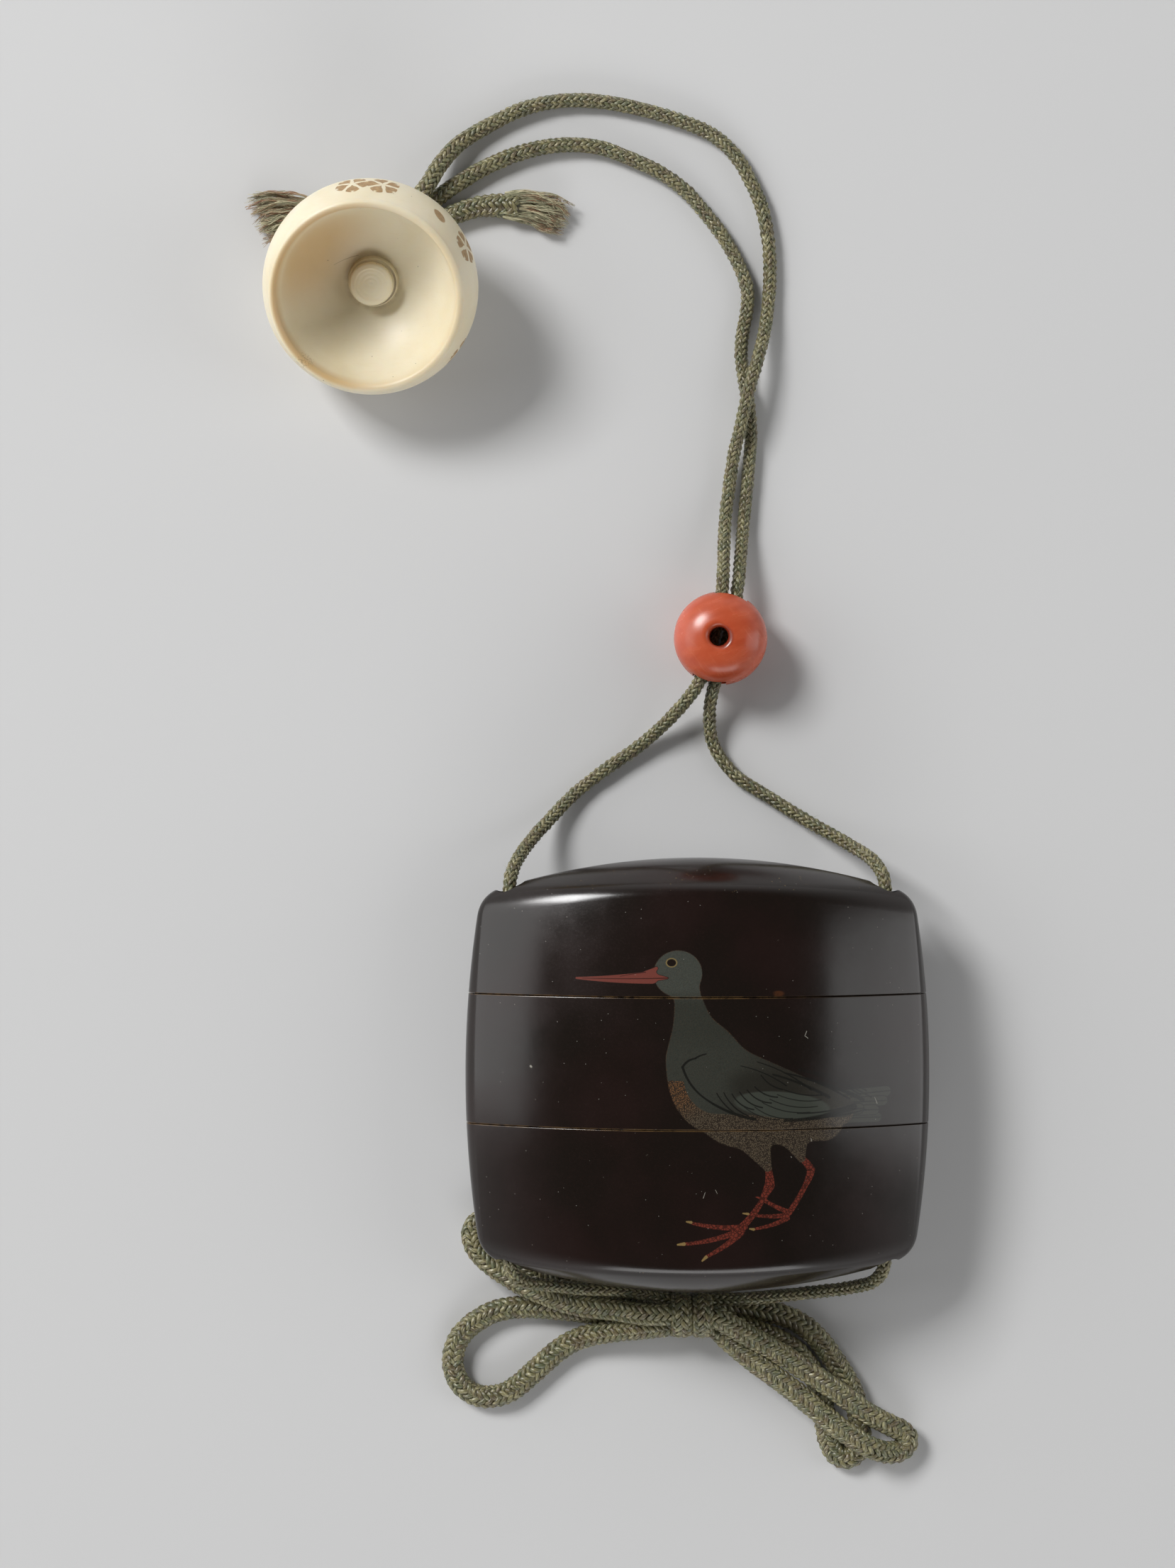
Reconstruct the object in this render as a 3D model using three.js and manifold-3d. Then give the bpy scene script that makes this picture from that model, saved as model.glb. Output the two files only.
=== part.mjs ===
// An inro: a small three-section lacquer case that lies on its back, with the braided cord that
// holds its sections together, an ojime bead on the cord, a bow under the case, and a bowl-shaped
// netsuke. Millimetres, +Z up. X runs across the case and Y along it, towards the netsuke. The
// origin is the middle of the small flat spot on the case's convex back.
import * as THREE from 'three';
import { mergeVertices } from 'three/addons/utils/BufferGeometryUtils.js';
import Module from 'manifold-3d';

const wasm = await Module();
wasm.setup();

// ---------------------------------------------------------------- driving dimensions

const GAP = 0.3; // air between pieces that touch or fit into each other

const CASE = {
  halfWidth: 37.5, // across the cord channels, at the waist
  halfDepth: 13.5, // back to front, at the waist
  sideRadius: 4, // round of the two narrow sides
  drawIn: 0.0029, // the outline draws in by this times the distance from the waist squared
  rimAtSides: 29.2, // where the side wall turns into the domed end, at the narrow sides
  rimAtFront: 30.5, // the same at the middle of the front and back
  domeTop: 35.1, // crown of the domed ends
  rimRound: 0.1, // the rim is rounded over this share of its distance from the axis
  restFlat: 0.2, // depth of the flat spot on the back
  wall: 2.6, // front and back walls at the open mouths
  endWall: 3.2, // thickness of the domed ends
};

const LID_SEAM = 13.3; // between the lid and the middle case
const BOTTOM_SEAM = -7.6; // between the middle and the bottom case

const INSIDE = {
  halfWidth: 27.2, // the compartments stop short of the cord channels
  sideRadius: 7.5,
  riserHeight: 6, // the lip of one section that stands in the next
  riserWall: 1.4,
  recessSpare: 0.6, // the recess that takes a riser is this much deeper
  floor: 1.9, // floor of the middle case
};

const CHANNEL = { x: 30.4, radius: 1.75, mouthRadius: 3.1, mouthFrom: 27.5, mouthTo: 33 };

const NETSUKE = {
  radius: 17.5, // widest, across the bulging side
  widestAt: 9, // height of the widest level above the underside
  height: 16.5,
  restRadius: 8, // flat of the underside
  rimRadius: 15.6, // outer edge of the rim
  bowlRadius: 14.5, // inner edge of the rim
  bowlDepth: 12.2,
  bossRadius: 4.05, // low ring round the stud
  bossHeight: 1.2,
  boreRadius: 2.3,
  cordHoleRadius: 4, // wide mouth of the bore in the underside
  cordHoleDepth: 1.6,
  centre: [-52.9, 127.6], // of the widest level, seen from above
  axis: [-0.045, -0.385, 0.922], // the bowl leans towards the case
};

const STUD = { radius: 3.55, capHeight: 1.15, dish: 0.35, dishRadius: 2.7, stemRadius: 2 };

const OJIME = {
  radius: 7.65,
  halfThickness: 5.9,
  fullness: 2.4, // exponent of the bead's outline, 2 is an ellipse
  holeRadius: 1.55,
  holeMouth: 2.5, // radius where the hole's countersink starts
  countersink: 0.9,
  passageWidth: 5.6, // oblong hole across the bead for the two cords
  passageHeight: 4.5,
  centre: [4.08, 70.9],
  turn: THREE.MathUtils.degToRad(-14.5), // passage away from the Y axis
  lean: THREE.MathUtils.degToRad(-6), // the bead's face tips to -X
};

const THIN_CORD = 2.4; // diameter of the two long cords, which are drawn tight
const THICK_CORD = 3; // diameter of the slack loops of the bow
const CORD_SIDES = 8;
const CASE_AXIS_Z = CASE.halfDepth - CASE.restFlat;

const KNOT = {
  centre: [-0.65, -40.3, 4.95],
  halfLength: 3.05, // along X, over both turns
  halfWidth: 3.8, // along Y
  halfHeight: 4.7, // along Z
  groove: 0.3, // depth of the groove between the turns, as a share of the half sizes
};

// Routes of the cords, chosen by hand: each point is [x, y, z].
const ROUTES = {
  cord_left: [
    [-48.4, 139.8, 3.9], [-46.6, 142.4, 3.9], [-44.0, 145.9, 3.9], [-41.9, 149.5, 3.0],
    [-38.7, 153.2, 1.8], [-34.8, 155.7, 1.3], [-29.0, 158.6, 1.3], [-23.6, 160.0, 1.3],
    [-17.3, 160.2, 1.3], [-10.3, 159.1, 1.3], [-3.7, 157.3, 1.3], [2.1, 155.0, 1.3],
    [6.0, 152.0, 1.3], [8.9, 147.6, 1.3], [11.1, 142.5, 1.3], [12.2, 137.0, 1.3],
    [12.5, 132.0, 1.3], [12.2, 126.9, 1.5], [11.4, 121.3, 2.5], [10.0, 115.9, 3.8],
    [8.6, 111.0, 4.2], [7.5, 106.0, 3.7], [6.4, 101.2, 2.6], [5.6, 95.6, 2.1],
    [5.0, 90.5, 2.6], [4.7, 85.0, 4.6], [4.4, 79.5, 6.4], [3.7, 74.5, 6.5],
    [2.2, 68.5, 6.5], [0.5, 63.6, 6.3], [-2.8, 59.3, 4.4], [-8.3, 54.0, 1.9],
    [-15.2, 49.1, 1.3], [-20.2, 45.1, 1.4], [-24.0, 41.1, 2.8], [-27.3, 37.4, 6.4],
    [-29.3, 34.3, 10.6], [-30.2, 31.8, 12.8], [-30.4, 28.5, 13.3], [-30.4, 9.0, 13.3],
    [-30.4, -9.0, 13.3], [-30.4, -28.5, 13.3], [-30.1, -31.8, 12.7], [-28.4, -33.9, 11.0],
    [-24.9, -34.8, 8.2], [-19.6, -35.7, 6.4], [-12.9, -36.3, 5.2], [-7.5, -37.1, 4.6],
    [-4.0, -37.9, 4.6],
  ],
  cord_right: [
    [-51.0, 134.6, 1.3], [-49.0, 137.6, 1.3], [-45.9, 141.2, 1.3], [-42.2, 144.4, 1.3],
    [-38.7, 146.8, 1.3], [-34.8, 149.1, 1.3], [-29.0, 151.5, 1.3], [-24.4, 152.6, 1.3],
    [-19.7, 152.9, 1.3], [-15.3, 152.3, 1.3], [-10.7, 150.6, 1.3], [-5.6, 148.2, 1.3],
    [-1.7, 145.4, 1.3], [1.3, 142.1, 1.3], [4.8, 137.5, 1.3], [7.4, 132.8, 1.3],
    [8.7, 128.9, 1.3], [8.6, 125.2, 1.3], [7.9, 121.3, 1.3], [7.7, 118.0, 1.3],
    [8.2, 113.9, 1.3], [9.0, 109.0, 1.3], [9.3, 104.5, 1.3], [8.9, 99.0, 1.3],
    [8.4, 93.5, 1.3], [7.9, 88.5, 1.7], [7.4, 83.5, 3.5], [6.9, 79.0, 5.0],
    [6.0, 74.0, 5.1], [4.6, 68.0, 5.1], [3.1, 63.2, 4.9], [2.4, 59.0, 3.2],
    [3.1, 53.6, 1.4], [6.6, 48.6, 1.3], [12.5, 44.7, 1.3], [19.4, 40.4, 2.2],
    [25.3, 37.0, 5.4], [28.6, 34.6, 9.8], [30.2, 31.8, 12.8], [30.4, 28.5, 13.3],
    [30.4, 9.0, 13.3], [30.4, -9.0, 13.3], [30.4, -28.5, 13.3], [30.1, -31.8, 12.7],
    [28.6, -33.9, 11.0], [25.3, -35.3, 8.0], [18.9, -36.5, 5.7], [11.7, -37.4, 4.8],
    [6.5, -37.8, 4.6], [2.9, -37.9, 4.6],
  ],
  bow_loop_left_small: [
    [-4.0, -39.8, 7.5], [-8.0, -39.9, 7.1], [-12.9, -39.5, 5.5], [-19.6, -38.7, 4.9],
    [-24.0, -37.3, 4.7], [-28.4, -35.4, 4.4], [-31.8, -33.4, 4.1], [-34.7, -31.3, 3.7],
    [-36.3, -29.2, 3.2], [-36.8, -27.2, 2.6], [-35.9, -25.5, 2.0], [-34.1, -25.3, 1.7],
    [-32.4, -26.9, 1.6], [-29.5, -30.6, 1.6], [-25.5, -34.0, 1.6], [-19.6, -36.4, 1.6],
    [-12.9, -37.3, 1.6], [-8.0, -37.8, 1.6], [-4.0, -38.2, 1.6],
  ],
  bow_loop_left_large: [
    [-4.0, -41.7, 1.6], [-8.0, -41.5, 1.6], [-12.9, -40.8, 1.6], [-17.3, -40.5, 1.6],
    [-22.5, -39.9, 1.6], [-28.7, -39.6, 1.6], [-33.0, -40.3, 1.6], [-36.8, -42.4, 1.6],
    [-39.2, -45.1, 1.6], [-40.0, -47.9, 1.6], [-39.8, -50.3, 1.6], [-38.4, -52.7, 1.6],
    [-36.1, -54.2, 1.6], [-33.4, -54.4, 1.6], [-30.8, -53.6, 1.6], [-28.2, -51.7, 1.6],
    [-25.1, -48.9, 1.6], [-22.4, -46.6, 1.7], [-19.4, -44.8, 2.1], [-14.5, -43.4, 3.4],
    [-9.0, -42.6, 4.7], [-4.0, -41.9, 5.0],
  ],
  bow_loop_right_upper: [
    [3.4, -40.4, 7.7], [5.4, -41.4, 7.3], [8.1, -43.2, 6.3], [13.1, -46.1, 5.3],
    [18.9, -49.9, 5.0], [23.7, -53.2, 5.0], [28.4, -56.6, 4.6], [32.0, -58.7, 3.4],
    [34.3, -60.0, 2.5], [35.2, -61.5, 2.1], [34.2, -63.1, 2.2], [31.8, -63.3, 3.3],
    [28.8, -62.2, 4.9], [25.8, -60.4, 5.1], [21.0, -56.8, 5.0], [16.8, -53.3, 5.0],
    [12.7, -50.2, 5.0], [9.0, -47.5, 5.0], [5.4, -44.4, 4.9], [3.5, -42.6, 4.9],
  ],
  bow_loop_right_lower: [
    [2.9, -38.5, 1.6], [8.0, -39.4, 1.6], [14.1, -40.8, 1.6], [17.2, -42.1, 1.6],
    [19.6, -44.0, 1.6], [21.7, -46.4, 1.6], [23.7, -49.3, 1.6], [25.3, -51.9, 1.6],
    [26.5, -54.6, 1.6], [27.2, -58.5, 1.6], [27.4, -61.6, 1.6], [26.8, -63.6, 1.6],
    [25.2, -64.6, 1.6], [23.5, -64.0, 1.6], [22.5, -62.4, 1.6], [21.8, -59.9, 1.6],
    [21.4, -57.0, 1.6], [20.7, -53.4, 1.6], [19.0, -49.6, 1.6], [16.6, -46.8, 1.6],
    [13.4, -44.8, 1.6], [8.4, -42.9, 1.6], [2.9, -42.1, 1.6],
  ],
};

// The two loose ends of the cord at the netsuke: a short stretch, then a fan of loose threads.
const ENDS = {
  cord_end_right: {
    route: [
      [-46.9, 135.5, 1.45], [-44.5, 138.2, 1.45], [-40.6, 140.9, 1.45], [-35.5, 142.7, 1.45],
      [-30.5, 143.3, 1.45], [-27.6, 142.9, 1.45],
    ],
    tip: [-20.6, 140.2, 1.45],
    tipHalfWidth: 2.9,
  },
  cord_end_left: {
    route: [[-55.6, 136.4, 1.45], [-58.6, 139.0, 1.45], [-62.4, 140.2, 1.45]],
    tip: [-73.2, 140.2, 1.45],
    tipHalfWidth: 4.1,
  },
};
const END_CORD = 2.6; // diameter of the short ends
const TIP_HALF_HEIGHT = 1.2;

// ---------------------------------------------------------------- solids and booleans

function solidOf(geometry) {
  const bare = geometry.clone();
  bare.deleteAttribute('normal');
  bare.deleteAttribute('uv');
  const merged = mergeVertices(bare, 1e-4);
  return new wasm.Manifold(new wasm.Mesh({
    numProp: 3,
    vertProperties: new Float32Array(merged.attributes.position.array),
    triVerts: new Uint32Array(merged.index.array),
  }));
}

function geometryOf(solid) {
  const mesh = solid.getMesh();
  const geometry = new THREE.BufferGeometry();
  geometry.setAttribute('position', new THREE.BufferAttribute(new Float32Array(mesh.vertProperties), 3));
  geometry.setIndex(new THREE.BufferAttribute(new Uint32Array(mesh.triVerts), 1));
  return geometry;
}

function boxBetween(low, high) {
  const size = high.map((value, axis) => value - low[axis]);
  const centre = high.map((value, axis) => (value + low[axis]) / 2);
  return solidOf(new THREE.BoxGeometry(...size).translate(...centre));
}

// A closed skin over rings of points. Each ring has the same number of points, in the same
// order; a ring of one point is the tip of a dome, and other end rings are closed flat.
function loft(rings) {
  const points = [];
  const triangles = [];
  const starts = rings.map((ring) => {
    const start = points.length / 3;
    ring.forEach((point) => points.push(...point));
    return start;
  });
  const closeEnd = (ring, start, reversed) => {
    const hub = points.length / 3;
    const sum = ring.reduce((total, point) => total.map((value, axis) => value + point[axis]), [0, 0, 0]);
    points.push(...sum.map((value) => value / ring.length));
    for (let i = 0; i < ring.length; i += 1) {
      const next = (i + 1) % ring.length;
      triangles.push(...(reversed ? [hub, start + i, start + next] : [hub, start + next, start + i]));
    }
  };
  for (let j = 0; j + 1 < rings.length; j += 1) {
    const count = Math.max(rings[j].length, rings[j + 1].length);
    for (let i = 0; i < count; i += 1) {
      const next = (i + 1) % count;
      const [a, b] = rings[j].length === 1 ? [0, 0] : [i, next];
      const [c, d] = rings[j + 1].length === 1 ? [0, 0] : [i, next];
      if (a !== b) triangles.push(starts[j] + a, starts[j + 1] + d, starts[j] + b);
      if (c !== d) triangles.push(starts[j] + a, starts[j + 1] + c, starts[j + 1] + d);
    }
  }
  if (rings[0].length > 1) closeEnd(rings[0], starts[0], true);
  const last = rings.length - 1;
  if (rings[last].length > 1) closeEnd(rings[last], starts[last], false);
  const geometry = new THREE.BufferGeometry();
  geometry.setAttribute('position', new THREE.BufferAttribute(new Float32Array(points), 3));
  geometry.setIndex(triangles);
  return solidOf(geometry);
}

// ---------------------------------------------------------------- the case

// A lens-shaped outline in X and Z: two broad arcs, front and back, joined by two small round
// sides. Its points go round by the direction they face, so an inset moves each along its normal.
function lensOutline(halfWidth, halfDepth, sideRadius, broadSteps, sideSteps) {
  const sideCentre = halfWidth - sideRadius;
  const broadRadius = (sideCentre ** 2 + halfDepth ** 2 - sideRadius ** 2) / (2 * (halfDepth - sideRadius));
  const turn = Math.atan2(sideCentre, broadRadius - halfDepth);
  const broadCentre = halfDepth - broadRadius;
  const arcs = [
    { from: -turn, to: turn, steps: broadSteps, centre: [0, broadCentre], radius: broadRadius },
    { from: turn, to: Math.PI - turn, steps: sideSteps, centre: [sideCentre, 0], radius: sideRadius },
    { from: Math.PI - turn, to: Math.PI + turn, steps: broadSteps, centre: [0, -broadCentre], radius: broadRadius },
    { from: Math.PI + turn, to: 2 * Math.PI - turn, steps: sideSteps, centre: [-sideCentre, 0], radius: sideRadius },
  ];
  return arcs.flatMap(({ from, to, steps, centre, radius }) => Array.from({ length: steps }, (_, i) => {
    const facing = from + ((to - from) * i) / steps;
    return (inset) => [
      centre[0] + (radius - inset) * Math.sin(facing),
      centre[1] + (radius - inset) * Math.cos(facing),
    ];
  }));
}

const drawnIn = (y) => CASE.drawIn * y * y;

// The whole case as one closed body: a barrel with a rounded rim and a domed end each way.
function caseBody() {
  const outline = lensOutline(CASE.halfWidth, CASE.halfDepth, CASE.sideRadius, 13, 6);
  const end = outline.map((pointAt) => {
    const across = pointAt(0)[0] / CASE.halfWidth;
    const rimY = CASE.rimAtFront - (CASE.rimAtFront - CASE.rimAtSides) * across * across;
    const corner = pointAt(drawnIn(rimY));
    const roundStart = rimY - CASE.rimRound * Math.hypot(...corner);
    const dome = (share) => [
      corner[0] * share,
      rimY + (CASE.domeTop - rimY) * (1 - share * share),
      corner[1] * share,
    ];
    const [sideX, sideZ] = pointAt(drawnIn(roundStart));
    const before = [sideX, roundStart, sideZ];
    const middle = [corner[0], rimY, corner[1]];
    const after = dome(1 - CASE.rimRound);
    const rounded = (t) => middle.map((value, axis) => (
      (1 - t) * (1 - t) * before[axis] + 2 * t * (1 - t) * value + t * t * after[axis]));
    return { dome, rounded };
  });
  const endRings = [
    ...[0.3, 0.55, 0.76].map((share) => end.map(({ dome }) => dome(share))),
    ...[1, 0.67, 0.33, 0].map((t) => end.map(({ rounded }) => rounded(t))),
  ];
  const barrelRing = (y) => outline.map((pointAt) => {
    const [x, z] = pointAt(drawnIn(y));
    return [x, y, z];
  });
  const mirrored = (ring) => ring.map(([x, y, z]) => [x, -y, z]);
  const upper = [[[0, CASE.domeTop, 0]], ...endRings, ...[20, 10].map(barrelRing)];
  const lower = upper.map(mirrored).reverse();
  const body = loft([...upper, barrelRing(0), ...lower]);
  const reach = 2 * CASE.halfWidth;
  const flat = boxBetween([-reach, -reach, -reach], [reach, reach, -CASE_AXIS_Z]);
  return body.subtract(flat);
}

const insideOutline = lensOutline(
  INSIDE.halfWidth, CASE.halfDepth - CASE.wall, INSIDE.sideRadius, 9, 4);

const insideRing = (y, inset, share = 1) => insideOutline.map((pointAt) => {
  const [x, z] = pointAt(inset);
  return [x * share, y, z * share];
});

// A straight block of the compartments' outline, set in by the given amount.
const insideBlock = (low, high, inset) => loft([insideRing(high, inset), insideRing(low, inset)]);

// The space of a compartment that ends in a dome: straight from its mouth for the depth of a
// riser, then drawn in with the outside of the case. The sign of end is the dome's way.
function domedSpace(mouthY, inset, end) {
  const crown = CASE.domeTop - CASE.endWall;
  const rings = [
    [[0, end * crown, 0]],
    insideRing(end * (crown - 0.5), inset + 2.2, 0.4),
    insideRing(end * (crown - 2), inset + 2.2, 0.75),
    insideRing(end * (crown - 3.6), inset + 2.2, 0.95),
    insideRing(end * (crown - 5.6), inset + 1.6),
    insideRing(end * (LID_SEAM + INSIDE.riserHeight + INSIDE.recessSpare), inset),
    insideRing(mouthY, inset),
  ];
  return loft(end > 0 ? rings : rings.reverse());
}

// A cord channel right through the case, flared at both ends.
function channelAt(x) {
  const { radius, mouthRadius, mouthFrom, mouthTo } = CHANNEL;
  const profile = [
    [0, -mouthTo], [mouthRadius, -mouthTo], [radius, -mouthFrom],
    [radius, mouthFrom], [mouthRadius, mouthTo], [0, mouthTo],
  ];
  const outline = profile.map(([r, y]) => new THREE.Vector2(r, y));
  return solidOf(new THREE.LatheGeometry(outline, 16).translate(x, 0, 0));
}

function caseSections() {
  const reach = 2 * CASE.halfWidth;
  const slab = (low, high) => boxBetween([-reach, low, -reach], [reach, high, reach]);
  const riserInset = GAP + INSIDE.riserWall;
  const riser = (seam) => insideBlock(seam - 1, seam + INSIDE.riserHeight, GAP);
  const recess = (seam) => insideBlock(seam - 1, seam + INSIDE.riserHeight + INSIDE.recessSpare, 0);
  const body = caseBody();
  const bored = [-CHANNEL.x, CHANNEL.x].reduce((solid, x) => solid.subtract(channelAt(x)), body);

  const lid = bored
    .intersect(slab(LID_SEAM + GAP / 2, reach))
    .subtract(domedSpace(LID_SEAM - 1, 0, 1));

  const floorTop = BOTTOM_SEAM + INSIDE.riserHeight + INSIDE.recessSpare + INSIDE.floor;
  const middle = bored
    .intersect(slab(BOTTOM_SEAM + GAP / 2, LID_SEAM - GAP / 2))
    .add(riser(LID_SEAM))
    .subtract(insideBlock(floorTop, LID_SEAM + reach / 2, riserInset))
    .subtract(recess(BOTTOM_SEAM));

  const bottom = bored
    .intersect(slab(-reach, BOTTOM_SEAM - GAP / 2))
    .add(riser(BOTTOM_SEAM))
    .subtract(domedSpace(BOTTOM_SEAM + INSIDE.riserHeight + 1, riserInset, -1));
  return { lid, middle, bottom };
}

// ---------------------------------------------------------------- netsuke, stud and bead

const profilePoints = (count, pointAt) => Array.from({ length: count + 1 }, (_, i) => pointAt(i / count));

// Turns a profile of [radius, height] points round the Z axis.
function turned(profile, sides) {
  const outline = profile.map(([radius, height]) => new THREE.Vector2(radius, height));
  return solidOf(new THREE.LatheGeometry(outline, sides).rotateX(Math.PI / 2));
}

const bowlRadiusOfCurve = (NETSUKE.bowlRadius ** 2 + NETSUKE.bowlDepth ** 2) / (2 * NETSUKE.bowlDepth);
const bowlFloor = NETSUKE.height - NETSUKE.bowlDepth;
const bowlHeight = (radius) => (
  bowlFloor + bowlRadiusOfCurve - Math.sqrt(bowlRadiusOfCurve ** 2 - radius ** 2));
const bossTop = bowlHeight(NETSUKE.bossRadius) + NETSUKE.bossHeight;

function netsukeBowl() {
  const n = NETSUKE;
  const upperTurn = Math.acos(n.rimRadius / n.radius);
  const rimRise = n.height - 0.6 - n.widestAt;
  const under = profilePoints(7, (t) => {
    const angle = (t * Math.PI) / 2;
    return [
      n.restRadius + (n.radius - n.restRadius) * Math.sin(angle),
      n.widestAt * (1 - Math.cos(angle)),
    ];
  });
  const side = profilePoints(4, (t) => [
    n.radius * Math.cos(t * upperTurn),
    n.widestAt + (rimRise * Math.sin(t * upperTurn)) / Math.sin(upperTurn),
  ]).slice(1);
  const rim = [[(n.rimRadius + n.bowlRadius) / 2, n.height]];
  const dish = profilePoints(7, (t) => {
    const radius = n.bowlRadius + (n.bossRadius - n.bowlRadius) * t;
    return [radius, bowlHeight(radius) - (t === 0 ? 0.5 : 0)];
  });
  const bore = [
    [n.bossRadius, bossTop - 0.3], [n.bossRadius - 0.3, bossTop], [n.boreRadius, bossTop],
    [n.boreRadius, n.cordHoleDepth], [n.cordHoleRadius, n.cordHoleDepth], [n.cordHoleRadius, 0],
  ];
  const profile = [...under, ...side, ...rim, ...dish, ...bore];
  return turned([...profile, profile[0]], 28);
}

function netsukeStud() {
  const seat = bossTop + GAP;
  const top = seat + STUD.capHeight;
  return turned([
    [0, NETSUKE.cordHoleDepth + 0.5], [STUD.stemRadius, NETSUKE.cordHoleDepth + 0.5],
    [STUD.stemRadius, seat], [STUD.radius - 0.2, seat], [STUD.radius, seat + 0.25],
    [STUD.radius, top - 0.3], [STUD.radius - 0.25, top], [STUD.dishRadius, top],
    [STUD.dishRadius * 0.6, top - STUD.dish * 0.7], [0, top - STUD.dish],
  ], 18);
}

function ojimeBead() {
  const o = OJIME;
  const heightAt = (radius) => (
    o.halfThickness * (1 - (radius / o.radius) ** o.fullness) ** (1 / o.fullness));
  const face = profilePoints(5, (t) => {
    const radius = o.holeMouth + (o.radius - o.holeMouth) * Math.sin((t * Math.PI) / 2);
    return [radius, heightAt(radius)];
  });
  const hole = [o.holeRadius, heightAt(o.holeMouth) - o.countersink];
  const upper = [hole, ...face];
  const lower = upper.slice(0, -1).reverse().map(([radius, height]) => [radius, -height]);
  const profile = [...upper, ...lower].reverse();
  const bead = turned([...profile, profile[0]], 22);
  const passage = new THREE.BoxGeometry(o.passageWidth, 3 * o.radius, o.passageHeight);
  return bead.subtract(solidOf(passage));
}

// ---------------------------------------------------------------- cords

const curveThrough = (points) => new THREE.CatmullRomCurve3(
  points.map((point) => new THREE.Vector3(...point)), false, 'centripetal');

function tube(points, diameter, stepLength) {
  const path = curveThrough(points);
  const section = new THREE.Shape(Array.from({ length: CORD_SIDES }, (_, i) => {
    const angle = ((i + 0.5) * 2 * Math.PI) / CORD_SIDES;
    return new THREE.Vector2(Math.cos(angle), Math.sin(angle)).multiplyScalar(diameter / 2);
  }));
  const steps = Math.round(path.getLength() / stepLength);
  return new THREE.ExtrudeGeometry(section, { steps, extrudePath: path, bevelEnabled: false });
}

// A short end of cord that opens into a flat fan of threads.
function frayedEnd({ route, tip, tipHalfWidth }) {
  const neck = new THREE.Vector3(...route[route.length - 1]);
  const along = new THREE.Vector3(...tip).sub(neck);
  const heading = Math.atan2(along.y, along.x);
  const radius = END_CORD / 2;
  const fanRing = (distance, halfWidth, halfHeight) => Array.from({ length: 12 }, (_, i) => {
    const angle = (-i * Math.PI) / 6;
    const side = halfWidth * Math.cos(angle);
    return [
      neck.x + distance * Math.cos(heading) - side * Math.sin(heading),
      neck.y + distance * Math.sin(heading) + side * Math.cos(heading),
      neck.z + halfHeight * Math.sin(angle),
    ];
  });
  const fan = loft([
    fanRing(-0.6, radius * 0.8, radius * 0.8),
    fanRing(along.length() * 0.35, tipHalfWidth * 0.75, radius),
    fanRing(along.length() * 0.8, tipHalfWidth, TIP_HALF_HEIGHT),
    fanRing(along.length(), tipHalfWidth * 0.8, TIP_HALF_HEIGHT * 0.5),
  ]);
  return solidOf(tube(route, END_CORD, 4)).add(fan);
}

// The front of the bow's knot: two turns of cord side by side, closed into one solid.
function bowKnot() {
  const profile = profilePoints(12, (t) => {
    const x = 2 * t - 1;
    const inTurn = 1 - 2 * Math.abs(Math.abs(x) - 0.5);
    return [1 - KNOT.groove * (1 - Math.sqrt(1 - (1 - inTurn) ** 2)), x * KNOT.halfLength];
  });
  const closed = [[0, -KNOT.halfLength], ...profile, [0, KNOT.halfLength]];
  const outline = closed.map(([radius, height]) => new THREE.Vector2(radius, height));
  return new THREE.LatheGeometry(outline, 14)
    .rotateZ(-Math.PI / 2)
    .scale(1, KNOT.halfWidth, KNOT.halfHeight);
}

// ---------------------------------------------------------------- the scene graph

const lacquer = () => new THREE.MeshStandardMaterial({ color: 0x261a17, roughness: 0.28, metalness: 0 });
const ivory = () => new THREE.MeshStandardMaterial({ color: 0xe9dcbc, roughness: 0.4, metalness: 0 });
const coral = () => new THREE.MeshStandardMaterial({ color: 0xc4563a, roughness: 0.3, metalness: 0 });
const braid = () => new THREE.MeshStandardMaterial({ color: 0x7c755a, roughness: 0.85, metalness: 0 });

function named(name, geometry, material) {
  const mesh = new THREE.Mesh(geometry, material);
  mesh.name = name;
  return mesh;
}

// Lowers or lifts a tilted group until its lowest point touches the table.
function setDown(group) {
  group.updateMatrixWorld(true);
  const box = new THREE.Box3().setFromObject(group, true);
  group.position.z -= box.min.z;
  return group;
}

function caseGroup() {
  const group = new THREE.Group();
  const { lid, middle, bottom } = caseSections();
  group.add(named('inro_lid', geometryOf(lid), lacquer()));
  group.add(named('inro_middle_case', geometryOf(middle), lacquer()));
  group.add(named('inro_bottom_case', geometryOf(bottom), lacquer()));
  group.position.z = CASE_AXIS_Z;
  return group;
}

function netsukeGroup() {
  const group = new THREE.Group();
  group.add(named('netsuke_bowl', geometryOf(netsukeBowl()), ivory()));
  group.add(named('netsuke_stud', geometryOf(netsukeStud()), ivory()));
  const axis = new THREE.Vector3(...NETSUKE.axis).normalize();
  group.quaternion.setFromUnitVectors(new THREE.Vector3(0, 0, 1), axis);
  const toWidest = axis.clone().multiplyScalar(NETSUKE.widestAt);
  group.position.set(NETSUKE.centre[0] - toWidest.x, NETSUKE.centre[1] - toWidest.y, 0);
  return setDown(group);
}

function ojimeGroup() {
  const group = new THREE.Group();
  group.add(named('ojime_bead', geometryOf(ojimeBead()), coral()));
  group.rotation.set(0, OJIME.lean, OJIME.turn, 'ZYX');
  group.position.set(OJIME.centre[0], OJIME.centre[1], 0);
  return setDown(group);
}

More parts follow.
